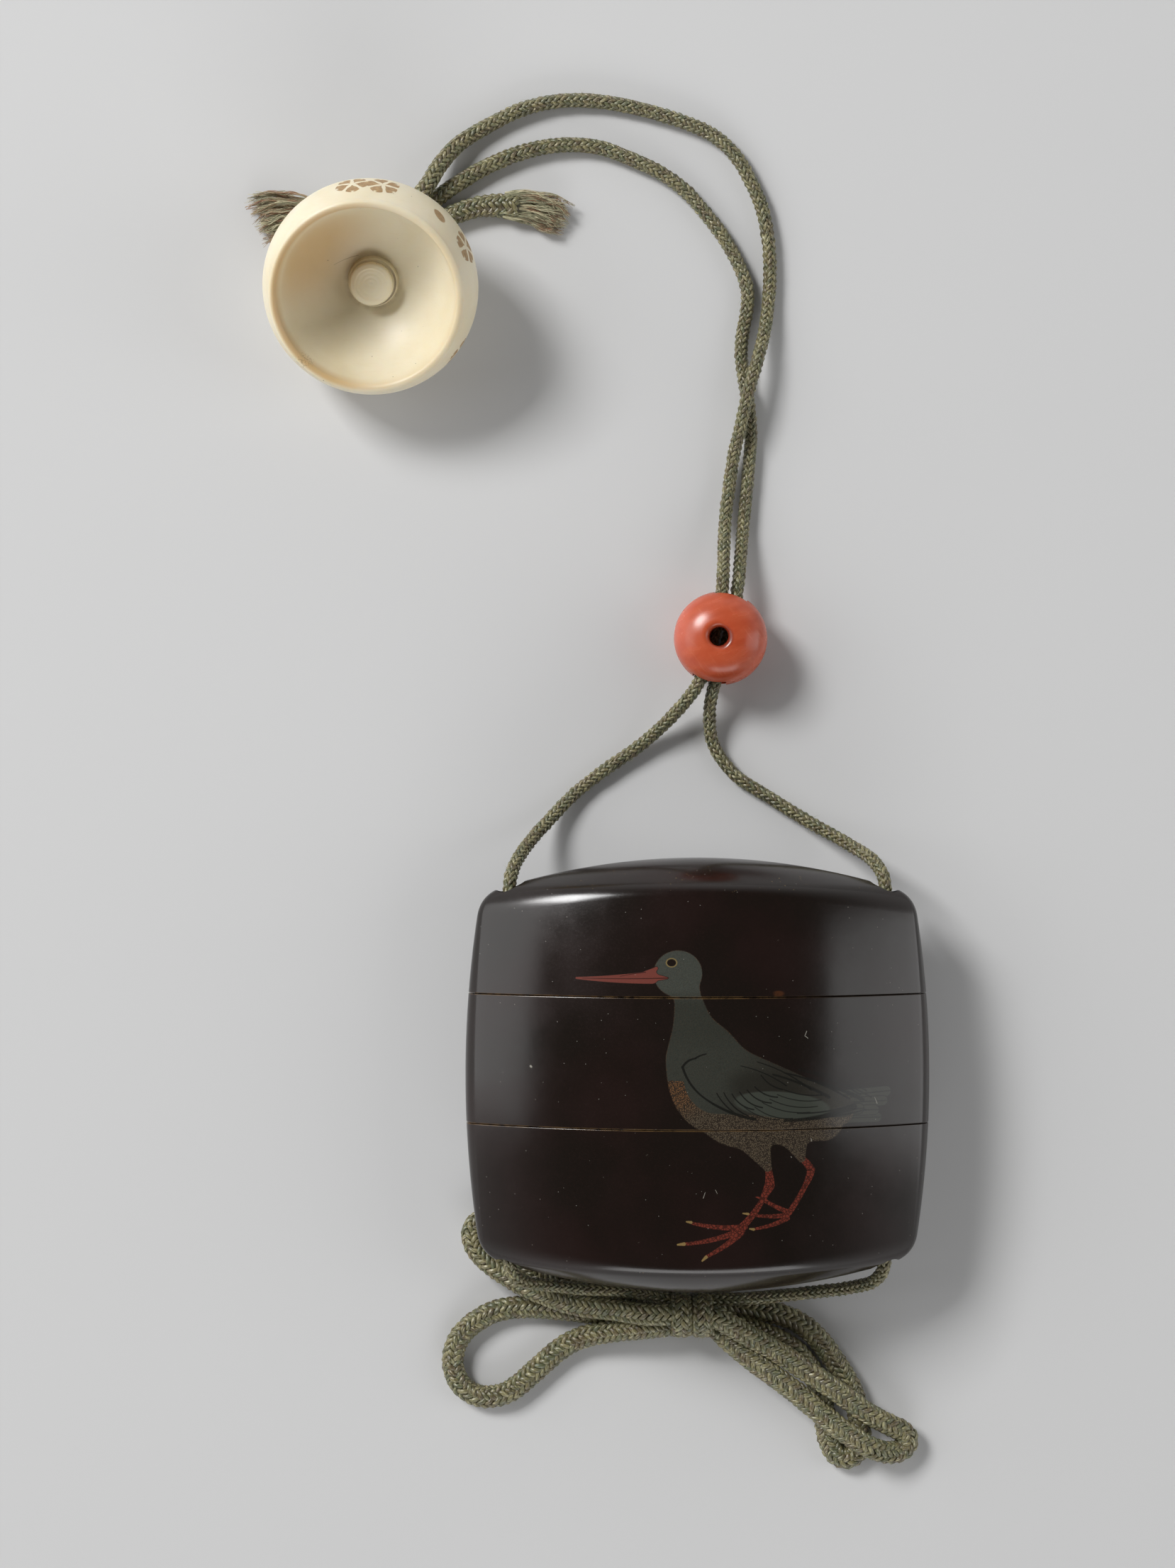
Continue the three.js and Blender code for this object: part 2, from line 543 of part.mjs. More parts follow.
function cordGroup() {
  const group = new THREE.Group();
  Object.entries(ROUTES).forEach(([name, points]) => {
    const long = name.startsWith('cord');
    const geometry = tube(points, long ? THIN_CORD : THICK_CORD, long ? 5.6 : 4);
    group.add(named(name, geometry, braid()));
  });
  Object.entries(ENDS).forEach(([name, end]) => {
    group.add(named(name, geometryOf(frayedEnd(end)), braid()));
  });
  const knot = named('bow_knot', bowKnot(), braid());
  knot.position.set(...KNOT.centre);
  group.add(knot);
  return group;
}

const inro = new THREE.Group();
inro.add(caseGroup(), netsukeGroup(), ojimeGroup(), cordGroup());

export default inro;
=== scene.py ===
"""An inro in Blender: a small lacquer case in three sections with a wading bird painted on its
front, lying on its back with its braided cord, coral bead, bow and bowl-shaped ivory netsuke.

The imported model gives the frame. Every visible piece here is built finer round one of its solids
and stands for it. Lengths in the tables below are millimetres and become metres when a mesh is
made."""

import math

import bmesh
import bpy
import numpy as np
from bpy.props import FloatProperty, FloatVectorProperty, IntProperty, PointerProperty
from mathutils import Matrix, Vector


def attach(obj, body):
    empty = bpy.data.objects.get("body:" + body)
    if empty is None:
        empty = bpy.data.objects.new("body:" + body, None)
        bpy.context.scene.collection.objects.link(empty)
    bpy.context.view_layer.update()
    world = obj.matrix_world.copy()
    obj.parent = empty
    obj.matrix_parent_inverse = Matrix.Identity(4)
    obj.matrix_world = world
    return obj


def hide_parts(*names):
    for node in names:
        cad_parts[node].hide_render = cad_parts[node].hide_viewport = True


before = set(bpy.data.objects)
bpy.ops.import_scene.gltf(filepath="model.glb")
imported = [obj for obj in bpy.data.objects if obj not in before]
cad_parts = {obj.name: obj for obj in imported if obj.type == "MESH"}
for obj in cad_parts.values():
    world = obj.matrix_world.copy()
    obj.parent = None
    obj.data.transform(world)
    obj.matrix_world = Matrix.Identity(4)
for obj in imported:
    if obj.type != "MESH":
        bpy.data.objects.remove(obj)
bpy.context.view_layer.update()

bl_info = {
    "name": "Inro with netsuke",
    "version": (1, 0, 0),
    "blender": (4, 5, 0),
    "location": "View3D > Sidebar > Inro",
    "description": "Lacquered inro case with braided cord, bead, bow and netsuke",
    "category": "Object",
}

MM = 0.001
UP = np.array([0.0, 0.0, 1.0])
TURN = 2 * math.pi

# ---------------------------------------------------------------- sizes shared by the pieces

AXIS_Z = 13.3  # height of the case's own axis over the table
LID_SEAM = 13.3
BOTTOM_SEAM = -7.6
SEAM_GAP = 0.07  # half of the fine line between two sections
SEAM_ROUND = 0.09

CASE = {
    "half_width": 37.5, "half_depth": 13.5, "side_radius": 4.0, "draw_in": 0.0029,
    "rim_sides": 29.2, "rim_front": 30.5, "dome_top": 35.1, "rim_round": 0.1,
    "wall": 2.6, "end_wall": 3.2,
}
INSIDE = {
    "half_width": 27.2, "side_radius": 7.5, "riser": 6.0, "riser_wall": 1.4,
    "spare": 0.6, "floor": 1.9, "play": 0.3,
}
CHANNEL = {"x": 30.4, "radius": 1.75, "mouth": 3.1, "mouth_from": 27.5, "mouth_to": 33.0}

NETSUKE = {
    "radius": 17.5, "widest_at": 9.0, "height": 16.5, "rest_radius": 8.0, "rim_radius": 15.6,
    "bowl_radius": 14.5, "bowl_depth": 12.2, "boss_radius": 4.05, "boss_height": 1.2,
    "bore": 2.3, "cord_hole": 4.0, "cord_hole_depth": 1.6,
    "centre": (-52.9, 127.6), "axis": (-0.045, -0.385, 0.922),
}
STUD = {"radius": 3.55, "cap": 1.15, "dish": 0.35, "dish_radius": 2.7, "stem": 2.0}
BEAD = {
    "radius": 7.65, "half_thickness": 5.9, "fullness": 2.4, "hole": 1.55, "mouth": 2.5,
    "countersink": 0.9, "passage_width": 5.6, "passage_height": 4.5,
    "centre": (4.08, 70.9), "turn": math.radians(-14.5), "lean": math.radians(-6.0),
}

# Routes of the cords, the same as the solids follow.
ROUTES = {
    "cord_left": [
        (-48.4, 139.8, 3.9), (-46.6, 142.4, 3.9), (-44.0, 145.9, 3.9), (-41.9, 149.5, 3.0),
        (-38.7, 153.2, 1.8), (-34.8, 155.7, 1.3), (-29.0, 158.6, 1.3), (-23.6, 160.0, 1.3),
        (-17.3, 160.2, 1.3), (-10.3, 159.1, 1.3), (-3.7, 157.3, 1.3), (2.1, 155.0, 1.3),
        (6.0, 152.0, 1.3), (8.9, 147.6, 1.3), (11.1, 142.5, 1.3), (12.2, 137.0, 1.3),
        (12.5, 132.0, 1.3), (12.2, 126.9, 1.5), (11.4, 121.3, 2.5), (10.0, 115.9, 3.8),
        (8.6, 111.0, 4.2), (7.5, 106.0, 3.7), (6.4, 101.2, 2.6), (5.6, 95.6, 2.1),
        (5.0, 90.5, 2.6), (4.7, 85.0, 4.6), (4.4, 79.5, 6.4), (3.7, 74.5, 6.5),
        (2.2, 68.5, 6.5), (0.5, 63.6, 6.3), (-2.8, 59.3, 4.4), (-8.3, 54.0, 1.9),
        (-15.2, 49.1, 1.3), (-20.2, 45.1, 1.4), (-24.0, 41.1, 2.8), (-27.3, 37.4, 6.4),
        (-29.3, 34.3, 10.6), (-30.2, 31.8, 12.8), (-30.4, 28.5, 13.3), (-30.4, 9.0, 13.3),
        (-30.4, -9.0, 13.3), (-30.4, -28.5, 13.3), (-30.1, -31.8, 12.7), (-28.4, -33.9, 11.0),
        (-24.9, -34.8, 8.2), (-19.6, -35.7, 6.4), (-12.9, -36.3, 5.2), (-7.5, -37.1, 4.6),
        (-4.0, -37.9, 4.6), (-1.5, -38.6, 4.6),
    ],
    "cord_right": [
        (-51.0, 134.6, 1.3), (-49.0, 137.6, 1.3), (-45.9, 141.2, 1.3), (-42.2, 144.4, 1.3),
        (-38.7, 146.8, 1.3), (-34.8, 149.1, 1.3), (-29.0, 151.5, 1.3), (-24.4, 152.6, 1.3),
        (-19.7, 152.9, 1.3), (-15.3, 152.3, 1.3), (-10.7, 150.6, 1.3), (-5.6, 148.2, 1.3),
        (-1.7, 145.4, 1.3), (1.3, 142.1, 1.3), (4.8, 137.5, 1.3), (7.4, 132.8, 1.3),
        (8.7, 128.9, 1.3), (8.6, 125.2, 1.3), (7.9, 121.3, 1.3), (7.7, 118.0, 1.3),
        (8.2, 113.9, 1.3), (9.0, 109.0, 1.3), (9.3, 104.5, 1.3), (8.9, 99.0, 1.3),
        (8.4, 93.5, 1.3), (7.9, 88.5, 1.7), (7.4, 83.5, 3.5), (6.9, 79.0, 5.0),
        (6.0, 74.0, 5.1), (4.6, 68.0, 5.1), (3.1, 63.2, 4.9), (2.4, 59.0, 3.2),
        (3.1, 53.6, 1.4), (6.6, 48.6, 1.3), (12.5, 44.7, 1.3), (19.4, 40.4, 2.2),
        (25.3, 37.0, 5.4), (28.6, 34.6, 9.8), (30.2, 31.8, 12.8), (30.4, 28.5, 13.3),
        (30.4, 9.0, 13.3), (30.4, -9.0, 13.3), (30.4, -28.5, 13.3), (30.1, -31.8, 12.7),
        (28.6, -33.9, 11.0), (25.3, -35.3, 8.0), (18.9, -36.5, 5.7), (11.7, -37.4, 4.8),
        (6.5, -37.8, 4.6), (2.9, -37.9, 4.6), (0.5, -38.4, 4.6),
    ],
    "bow_loop_left_small": [
        (-1.5, -39.8, 7.2), (-4.0, -39.8, 7.5), (-8.0, -39.9, 7.1), (-12.9, -39.5, 5.5),
        (-19.6, -38.7, 4.9), (-24.0, -37.3, 4.7), (-28.4, -35.4, 4.4), (-31.8, -33.4, 4.1),
        (-34.7, -31.3, 3.7), (-36.3, -29.2, 3.2), (-36.8, -27.2, 2.6), (-35.9, -25.5, 2.0),
        (-34.1, -25.3, 1.7), (-32.4, -26.9, 1.6), (-29.5, -30.6, 1.6), (-25.5, -34.0, 1.6),
        (-19.6, -36.4, 1.6), (-12.9, -37.3, 1.6), (-8.0, -37.8, 1.6), (-4.0, -38.2, 1.6),
        (-1.5, -38.9, 2.0),
    ],
    "bow_loop_left_large": [
        (-1.5, -41.2, 2.4), (-4.0, -41.7, 1.6), (-8.0, -41.5, 1.6), (-12.9, -40.8, 1.6),
        (-17.3, -40.5, 1.6), (-22.5, -39.9, 1.6), (-28.7, -39.6, 1.6), (-33.0, -40.3, 1.6),
        (-36.8, -42.4, 1.6), (-39.2, -45.1, 1.6), (-40.0, -47.9, 1.6), (-39.8, -50.3, 1.6),
        (-38.4, -52.7, 1.6), (-36.1, -54.2, 1.6), (-33.4, -54.4, 1.6), (-30.8, -53.6, 1.6),
        (-28.2, -51.7, 1.6), (-25.1, -48.9, 1.6), (-22.4, -46.6, 1.7), (-19.4, -44.8, 2.1),
        (-14.5, -43.4, 3.4), (-9.0, -42.6, 4.7), (-4.0, -41.9, 5.0), (-1.5, -41.2, 5.0),
    ],
    "bow_loop_right_upper": [
        (0.5, -40.2, 7.2), (3.4, -40.4, 7.7), (5.4, -41.4, 7.3), (8.1, -43.2, 6.3),
        (13.1, -46.1, 5.3), (18.9, -49.9, 5.0), (23.7, -53.2, 5.0), (28.4, -56.6, 4.6),
        (32.0, -58.7, 3.4), (34.3, -60.0, 2.5), (35.2, -61.5, 2.1), (34.2, -63.1, 2.2),
        (31.8, -63.3, 3.3), (28.8, -62.2, 4.9), (25.8, -60.4, 5.1), (21.0, -56.8, 5.0),
        (16.8, -53.3, 5.0), (12.7, -50.2, 5.0), (9.0, -47.5, 5.0), (5.4, -44.4, 4.9),
        (3.5, -42.6, 4.9), (0.8, -41.0, 4.9),
    ],
    "bow_loop_right_lower": [
        (0.5, -38.9, 2.4), (2.9, -38.5, 1.6), (8.0, -39.4, 1.6), (14.1, -40.8, 1.6),
        (17.2, -42.1, 1.6), (19.6, -44.0, 1.6), (21.7, -46.4, 1.6), (23.7, -49.3, 1.6),
        (25.3, -51.9, 1.6), (26.5, -54.6, 1.6), (27.2, -58.5, 1.6), (27.4, -61.6, 1.6),
        (26.8, -63.6, 1.6), (25.2, -64.6, 1.6), (23.5, -64.0, 1.6), (22.5, -62.4, 1.6),
        (21.8, -59.9, 1.6), (21.4, -57.0, 1.6), (20.7, -53.4, 1.6), (19.0, -49.6, 1.6),
        (16.6, -46.8, 1.6), (13.4, -44.8, 1.6), (8.4, -42.9, 1.6), (2.9, -42.1, 1.6),
        (0.5, -41.4, 2.2),
    ],
}
# The two frayed ends: a short braided stretch, then loose threads that open into a fan.
ENDS = {
    "cord_end_right": {
        "route": [
            (-46.9, 135.5, 1.6), (-44.5, 138.2, 1.6), (-40.6, 140.9, 1.6),
            (-35.5, 142.6, 1.6), (-31.5, 142.7, 1.6), (-29.2, 142.5, 1.6),
        ],
        "half_widths": (1.75, 1.75, 1.85, 2.3),
        "fan": [(-31.6, 142.7, 1.6), (-27.6, 142.3, 1.6), (-24.0, 141.3, 1.6), (-20.7, 139.8, 1.5)],
        "fan_half_widths": (2.2, 2.75, 3.05, 2.3),
    },
    "cord_end_left": {
        "route": [(-55.6, 136.4, 1.45), (-58.6, 139.0, 1.45), (-62.4, 140.6, 1.45)],
        "half_widths": (1.6, 1.7, 1.9),
        "fan": [(-61.0, 140.4, 1.5), (-65.5, 141.2, 1.6), (-69.8, 141.0, 1.6), (-73.4, 139.6, 1.4)],
        "fan_half_widths": (1.9, 3.0, 4.0, 4.2),
    },
}
KNOT = {"centre": (-0.65, -40.3, 4.95), "half_length": 3.3, "half_width": 3.8, "half_height": 4.7}
# Half the width of the long cords by the distance along them: slack by the netsuke, then tight.
SLACK = {"cord_left": ((0, 1.6), (12, 1.5), (26, 1.3), (60, 1.25), (110, 1.15), (400, 1.2)),
         "cord_right": ((0, 1.6), (14, 1.52), (30, 1.35), (60, 1.25), (110, 1.15), (400, 1.2))}

BRAID = {
    "each_way": 8,  # strands that wind each way round the cord
    "pitch": 8.6,  # length of cord in which a strand goes once round
    "lift": 0.24, "half_thick": 0.25, "half_wide": 0.30,
    "step": 0.36, "sides": 6,
}


# ---------------------------------------------------------------- shader expressions

class Value:
    """A shader value. Python expressions on it add the Math nodes they need."""

    def __init__(self, graph, socket):
        self.graph = graph
        self.socket = socket

    def math(self, operation, *others):
        return self.graph.math(operation, self, *others)

    def __add__(self, other):
        return self.math("ADD", other)

    __radd__ = __add__

    def __mul__(self, other):
        return self.math("MULTIPLY", other)

    __rmul__ = __mul__

    def __sub__(self, other):
        return self.math("SUBTRACT", other)

    def __rsub__(self, other):
        return self.graph.math("SUBTRACT", other, self)

    def __truediv__(self, other):
        return self.math("DIVIDE", other)

    def __abs__(self):
        return self.math("ABSOLUTE")

    def lowest(self, other):
        return self.math("MINIMUM", other)

    def highest(self, other):
        return self.math("MAXIMUM", other)

    def joined(self, other, blend):
        return self.math("SMOOTH_MIN", other, blend)

    def part(self):
        return self.math("FRACT")

    def root(self):
        return self.math("SQRT")

    def above(self, low, high):
        """0 at low and 1 at high, smooth between them."""
        sockets = {0: self, 1: low, 2: high, 3: 0.0, 4: 1.0}
        settings = {"interpolation_type": "SMOOTHSTEP", "clamp": False}
        made = self.graph.node("ShaderNodeMapRange", settings, sockets)
        return Value(self.graph, made.outputs[0])


class Finish:
    """One material and the nodes that it is made of."""

    def __init__(self, name):
        self.material = bpy.data.materials.new(name)
        self.material.use_nodes = True
        self.tree = self.material.node_tree
        self.tree.nodes.clear()

    def node(self, kind, settings=None, sockets=None):
        made = self.tree.nodes.new(kind)
        for key, value in (settings or {}).items():
            setattr(made, key, value)
        for key, value in (sockets or {}).items():
            if isinstance(value, Value):
                self.tree.links.new(value.socket, made.inputs[key])
            else:
                made.inputs[key].default_value = value
        return made

    def value(self, kind, settings=None, sockets=None, output=0):
        return Value(self, self.node(kind, settings, sockets).outputs[output])

    def math(self, operation, *values):
        return self.value("ShaderNodeMath", {"operation": operation}, dict(enumerate(values)))

    def vector(self, operation, *values):
        output = 1 if operation in ("LENGTH", "DISTANCE", "DOT_PRODUCT") else 0
        sockets = dict(enumerate(values))
        return self.value("ShaderNodeVectorMath", {"operation": operation}, sockets, output)

    def place(self):
        """Object coordinates in millimetres."""
        here = self.value("ShaderNodeTexCoord", output="Object")
        sockets = {"Vector": here, "Scale": (1 / MM,) * 3}
        return self.value("ShaderNodeMapping", {"vector_type": "POINT"}, sockets)

    def mapped(self, vector, location=(0, 0, 0), rotation=(0, 0, 0), scale=(1, 1, 1)):
        """The vector in a frame of its own: moved, turned and divided by scale."""
        sockets = {"Vector": vector, "Location": location, "Rotation": rotation, "Scale": scale}
        return self.value("ShaderNodeMapping", {"vector_type": "TEXTURE"}, sockets)

    def parts(self, vector):
        made = self.node("ShaderNodeSeparateXYZ", None, {0: vector})
        return [Value(self, socket) for socket in made.outputs]

    def noise(self, vector, scale, detail=2.0, rough=0.5):
        sockets = {"Vector": vector, "Scale": scale, "Detail": detail, "Roughness": rough}
        return self.value("ShaderNodeTexNoise", None, sockets)

    def cells(self, vector, scale, feature="F1", output="Distance"):
        settings = {"feature": feature}
        sockets = {"Vector": vector, "Scale": scale}
        return self.value("ShaderNodeTexVoronoi", settings, sockets, output)

    def mix(self, factor, first, second):
        """Colour first where factor is 0 and second where it is 1."""
        def colour(value):
            return value if isinstance(value, Value) else (*value, 1.0)
        sockets = {0: factor, 6: colour(first), 7: colour(second)}
        return self.value("ShaderNodeMix", {"data_type": "RGBA"}, sockets, 2)

    def bump(self, height, distance, strength=1.0):
        sockets = {"Height": height, "Distance": distance * MM, "Strength": strength}
        return self.value("ShaderNodeBump", None, sockets)

    def surface(self, **sockets):
        names = {key.replace("_", " "): value for key, value in sockets.items()}
        shader = self.node("ShaderNodeBsdfPrincipled", None, names)
        output = self.node("ShaderNodeOutputMaterial")
        self.tree.links.new(shader.outputs[0], output.inputs["Surface"])
        return self.material


def paint(red, green, blue):
    """A colour given as on a paint card, 0 to 255, in the linear values that shaders use."""
    return tuple(((c / 255 + 0.055) / 1.055) ** 2.4 if c > 10 else c / 255 / 12.92
                 for c in (red, green, blue))


# ---------------------------------------------------------------- making pieces

def link(name, mesh):
    piece = bpy.data.objects.new(name, mesh)
    bpy.context.scene.collection.objects.link(piece)
    return piece


def finish_piece(piece, materials, node, crease=math.radians(40)):
    """Smooths a piece, gives it its materials, and has it stand for its solid."""
    for material in materials:
        piece.data.materials.append(material)
    piece.data.shade_smooth()
    if crease:
        piece.data.set_sharp_from_angle(angle=crease)
    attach(piece, "root")
    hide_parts(node)
    return piece


def mesh_from(bm, name, place=Matrix.Identity(4)):
    """The bmesh as a mesh in metres, moved to its place."""
    bmesh.ops.transform(bm, matrix=Matrix.Scale(MM, 4) @ place, verts=bm.verts)
    mesh = bpy.data.meshes.new(name)
    bm.to_mesh(mesh)
    bm.free()
    return mesh


def skin(rings):
    """A closed skin over rings of points, made on a grid that is bent round and merged."""
    count = max(len(ring) for ring in rings)
    rows = [np.broadcast_to(np.atleast_2d(ring), (count, 3)) for ring in rings]
    rows = [np.vstack([row, row[:1]]) for row in rows]
    bm = bmesh.new()
    bmesh.ops.create_grid(bm, x_segments=count, y_segments=len(rows) - 1, size=1)
    for vert, point in zip(bm.verts, np.vstack(rows)):
        vert.co = point
    bmesh.ops.remove_doubles(bm, verts=bm.verts, dist=1e-5)
    bmesh.ops.recalc_face_normals(bm, faces=bm.faces)
    return bm


def spun(profile, steps):
    """A profile of (radius, height) points turned once round Z, closed on itself."""
    bm = bmesh.new()
    verts = [bm.verts.new((radius, 0, height)) for radius, height in profile]
    edges = [bm.edges.new(pair) for pair in zip(verts, verts[1:])]
    bmesh.ops.spin(bm, geom=verts + edges, axis=(0, 0, 1), cent=(0, 0, 0),
                   angle=TURN, steps=steps, use_merge=True)
    bmesh.ops.remove_doubles(bm, verts=bm.verts, dist=1e-5)
    bmesh.ops.recalc_face_normals(bm, faces=bm.faces)
    return bm


def cut(mesh, cutters):
    """The mesh with the space of each cutter taken out of it."""
    piece = link("being_cut", mesh)
    helpers = [link("cutter", cutter) for cutter in cutters]
    for helper in helpers:
        modifier = piece.modifiers.new("cut", "BOOLEAN")
        modifier.operation = "DIFFERENCE"
        modifier.solver = "EXACT"
        modifier.object = helper
    bpy.context.view_layer.update()
    whole = piece.evaluated_get(bpy.context.evaluated_depsgraph_get())
    result = bpy.data.meshes.new_from_object(whole)
    for helper in [piece, *helpers]:
        bpy.data.objects.remove(helper)
    return result


# ---------------------------------------------------------------- the case

def lens(half_width, half_depth, side_radius, broad_steps=44, side_steps=14):
    """A lens-shaped outline in X and Z: two broad arcs and two small round sides. Gives each
    point's arc centre, arc radius and the way it faces."""
    side = half_width - side_radius
    broad = (side ** 2 + half_depth ** 2 - side_radius ** 2) / (2 * (half_depth - side_radius))
    turn = math.atan2(side, broad - half_depth)
    arcs = [
        (-turn, turn, broad_steps, (0, half_depth - broad), broad),
        (turn, math.pi - turn, side_steps, (side, 0), side_radius),
        (math.pi - turn, math.pi + turn, broad_steps, (0, broad - half_depth), broad),
        (math.pi + turn, TURN - turn, side_steps, (-side, 0), side_radius),
    ]
    rows = []
    for start, end, steps, centre, radius in arcs:
        for facing in np.linspace(start, end, steps, endpoint=False):
            rows.append((*centre, radius, math.sin(facing), math.cos(facing)))
    return np.array(rows)


def outline_ring(outline, y, inset, share=1.0):
    """The outline's points at height y along the case, moved in along their normals."""
    reach = (outline[:, 2] - inset)[:, None]
    flat = (outline[:, :2] + reach * outline[:, 3:]) * share
    high = np.broadcast_to(y, len(outline))
    return np.stack([flat[:, 0], high, flat[:, 1]], axis=1)


OUTSIDE = lens(CASE["half_width"], CASE["half_depth"], CASE["side_radius"])
COMPARTMENT = lens(
    INSIDE["half_width"], CASE["half_depth"] - CASE["wall"], INSIDE["side_radius"])


def barrel_ring(y, extra_inset=0.0):
    return outline_ring(OUTSIDE, y, CASE["draw_in"] * np.square(y) + extra_inset)


def dome_rings():
    """Rings from the crown of the domed end to where its rounded rim meets the barrel."""
    across = outline_ring(OUTSIDE, 0.0, 0.0)[:, 0] / CASE["half_width"]
    rim_y = CASE["rim_front"] - (CASE["rim_front"] - CASE["rim_sides"]) * across ** 2
    corner = barrel_ring(rim_y)
    distance = np.hypot(corner[:, 0], corner[:, 2])
    before = barrel_ring(rim_y - CASE["rim_round"] * distance)

    def dome(share):
        ring = corner * share
        ring[:, 1] = rim_y + (CASE["dome_top"] - rim_y) * (1 - share ** 2)
        return ring

    after = dome(1 - CASE["rim_round"])
    rim = [
        (1 - t) ** 2 * before + 2 * t * (1 - t) * corner + t ** 2 * after
        for t in np.linspace(1, 0, 15)
    ]
    crown = [np.array([[0, CASE["dome_top"], 0]])]
    flat = [dome(share) for share in np.linspace(0.03, 1 - CASE["rim_round"], 22)[:-1]]
    return crown + flat + rim


def side_rings(start_ring, seam, towards):
    """Barrel rings from start_ring to a seam, whose edge is slightly rounded."""
    last = seam - towards * SEAM_ROUND * 3
    rings = [barrel_ring(start_ring[:, 1] + (last - start_ring[:, 1]) * t)
             for t in np.linspace(0, 1, 9)[1:]]
    return rings + [
        barrel_ring(seam - towards * SEAM_ROUND * 1.6),
        barrel_ring(seam - towards * SEAM_ROUND),
        barrel_ring(seam - towards * SEAM_ROUND * 0.3, SEAM_ROUND * 0.3),
        barrel_ring(seam, SEAM_ROUND),
    ]


def inner_dome(inset):
    """The compartment's rings from the mouth side to the crown of its domed end."""
    crown = CASE["dome_top"] - CASE["end_wall"]
    straight = LID_SEAM + INSIDE["riser"] + INSIDE["spare"]
    # distance below the crown, further inset and share of the full size
    steps = (
        (8.8, 0.7, 1.0), (5.6, 1.6, 1.0), (4.4, 2.0, 0.985), (3.6, 2.2, 0.95), (2.7, 2.2, 0.87),
        (2.0, 2.2, 0.75), (1.2, 2.2, 0.58), (0.5, 2.2, 0.4), (0.1, 2.2, 0.15),
    )
    return [
        outline_ring(COMPARTMENT, straight, inset),
        *(outline_ring(COMPARTMENT, crown - below, inset + further, share)
          for below, further, share in steps),
        np.array([[0, crown, 0]]),
    ]


def mirrored(rings):
    return [ring * np.array([1, -1, 1]) for ring in rings]


def lid_rings():
    seam = LID_SEAM + SEAM_GAP
    dome = dome_rings()
    return [
        *dome,
        *side_rings(dome[-1], seam, -1),
        outline_ring(COMPARTMENT, seam, -0.15),
        outline_ring(COMPARTMENT, seam + 0.15, 0),
        outline_ring(COMPARTMENT, seam + 3, 0),
        *inner_dome(0),
    ]


def riser_rings(seam):
    """From the mouth's flat face up the outside of the riser and over its top."""
    top = seam + INSIDE["riser"]
    play = INSIDE["play"]
    inner = play + INSIDE["riser_wall"]
    return [
        outline_ring(COMPARTMENT, seam - SEAM_GAP, play - 0.05),
        outline_ring(COMPARTMENT, seam - SEAM_GAP + 0.05, play),
        outline_ring(COMPARTMENT, top - 0.25, play),
        outline_ring(COMPARTMENT, top, play + 0.25),
        outline_ring(COMPARTMENT, top, inner - 0.25),
        outline_ring(COMPARTMENT, top - 0.25, inner),
    ]


def middle_rings():
    inner = INSIDE["play"] + INSIDE["riser_wall"]
    recess_top = BOTTOM_SEAM + INSIDE["riser"] + INSIDE["spare"]
    floor = recess_top + INSIDE["floor"]
    upper, lower = LID_SEAM - SEAM_GAP, BOTTOM_SEAM + SEAM_GAP
    up = side_rings(barrel_ring(np.zeros(len(OUTSIDE))), upper, 1)
    down = side_rings(barrel_ring(np.zeros(len(OUTSIDE))), lower, -1)
    return [
        np.array([[0, floor, 0]]),
        outline_ring(COMPARTMENT, floor, inner, 0.5),
        outline_ring(COMPARTMENT, floor, inner + 0.5),
        outline_ring(COMPARTMENT, floor + 0.5, inner),
        *reversed(riser_rings(LID_SEAM)),
        *reversed(up),
        barrel_ring(0.0),
        *down,
        outline_ring(COMPARTMENT, lower, -0.15),
        outline_ring(COMPARTMENT, lower + 0.15, 0),
        outline_ring(COMPARTMENT, recess_top - 0.3, 0),
        outline_ring(COMPARTMENT, recess_top, 0.3),
        outline_ring(COMPARTMENT, recess_top, 0.3, 0.5),
        np.array([[0, recess_top, 0]]),
    ]


def bottom_rings():
    seam = -BOTTOM_SEAM + SEAM_GAP
    dome = dome_rings()
    inner = INSIDE["play"] + INSIDE["riser_wall"]
    outside = mirrored([*dome, *side_rings(dome[-1], seam, -1)])
    return [*outside, *riser_rings(BOTTOM_SEAM), *mirrored(inner_dome(inner))]


def channel_cutter(x):
    """The space of a cord channel, right through the case and flared at both ends."""
    c = CHANNEL
    bm = spun([(0, -c["mouth_to"]), (c["mouth"], -c["mouth_to"]), (c["radius"], -c["mouth_from"]),
               (c["radius"], c["mouth_from"]), (c["mouth"], c["mouth_to"]), (0, c["mouth_to"])], 40)
    return mesh_from(bm, "channel", Matrix.Translation((x, 0, AXIS_Z)) @ Matrix.Rotation(
        math.pi / 2, 4, "X"))


def flat_cutter():
    """The space under the small flat spot of the case's back."""
    bm = bmesh.new()
    bmesh.ops.create_cube(bm, size=100)
    return mesh_from(bm, "under", Matrix.Translation((0, 0, -50)))


def case_section(rings):
    """A section of the case with its two cord channels, flat where it rests."""
    mesh = mesh_from(skin(rings), "section", Matrix.Translation((0, 0, AXIS_Z)))
    channels = [channel_cutter(x) for x in (-CHANNEL["x"], CHANNEL["x"])]
    return cut(mesh, [*channels, flat_cutter()])


# ---------------------------------------------------------------- the picture and the lacquer

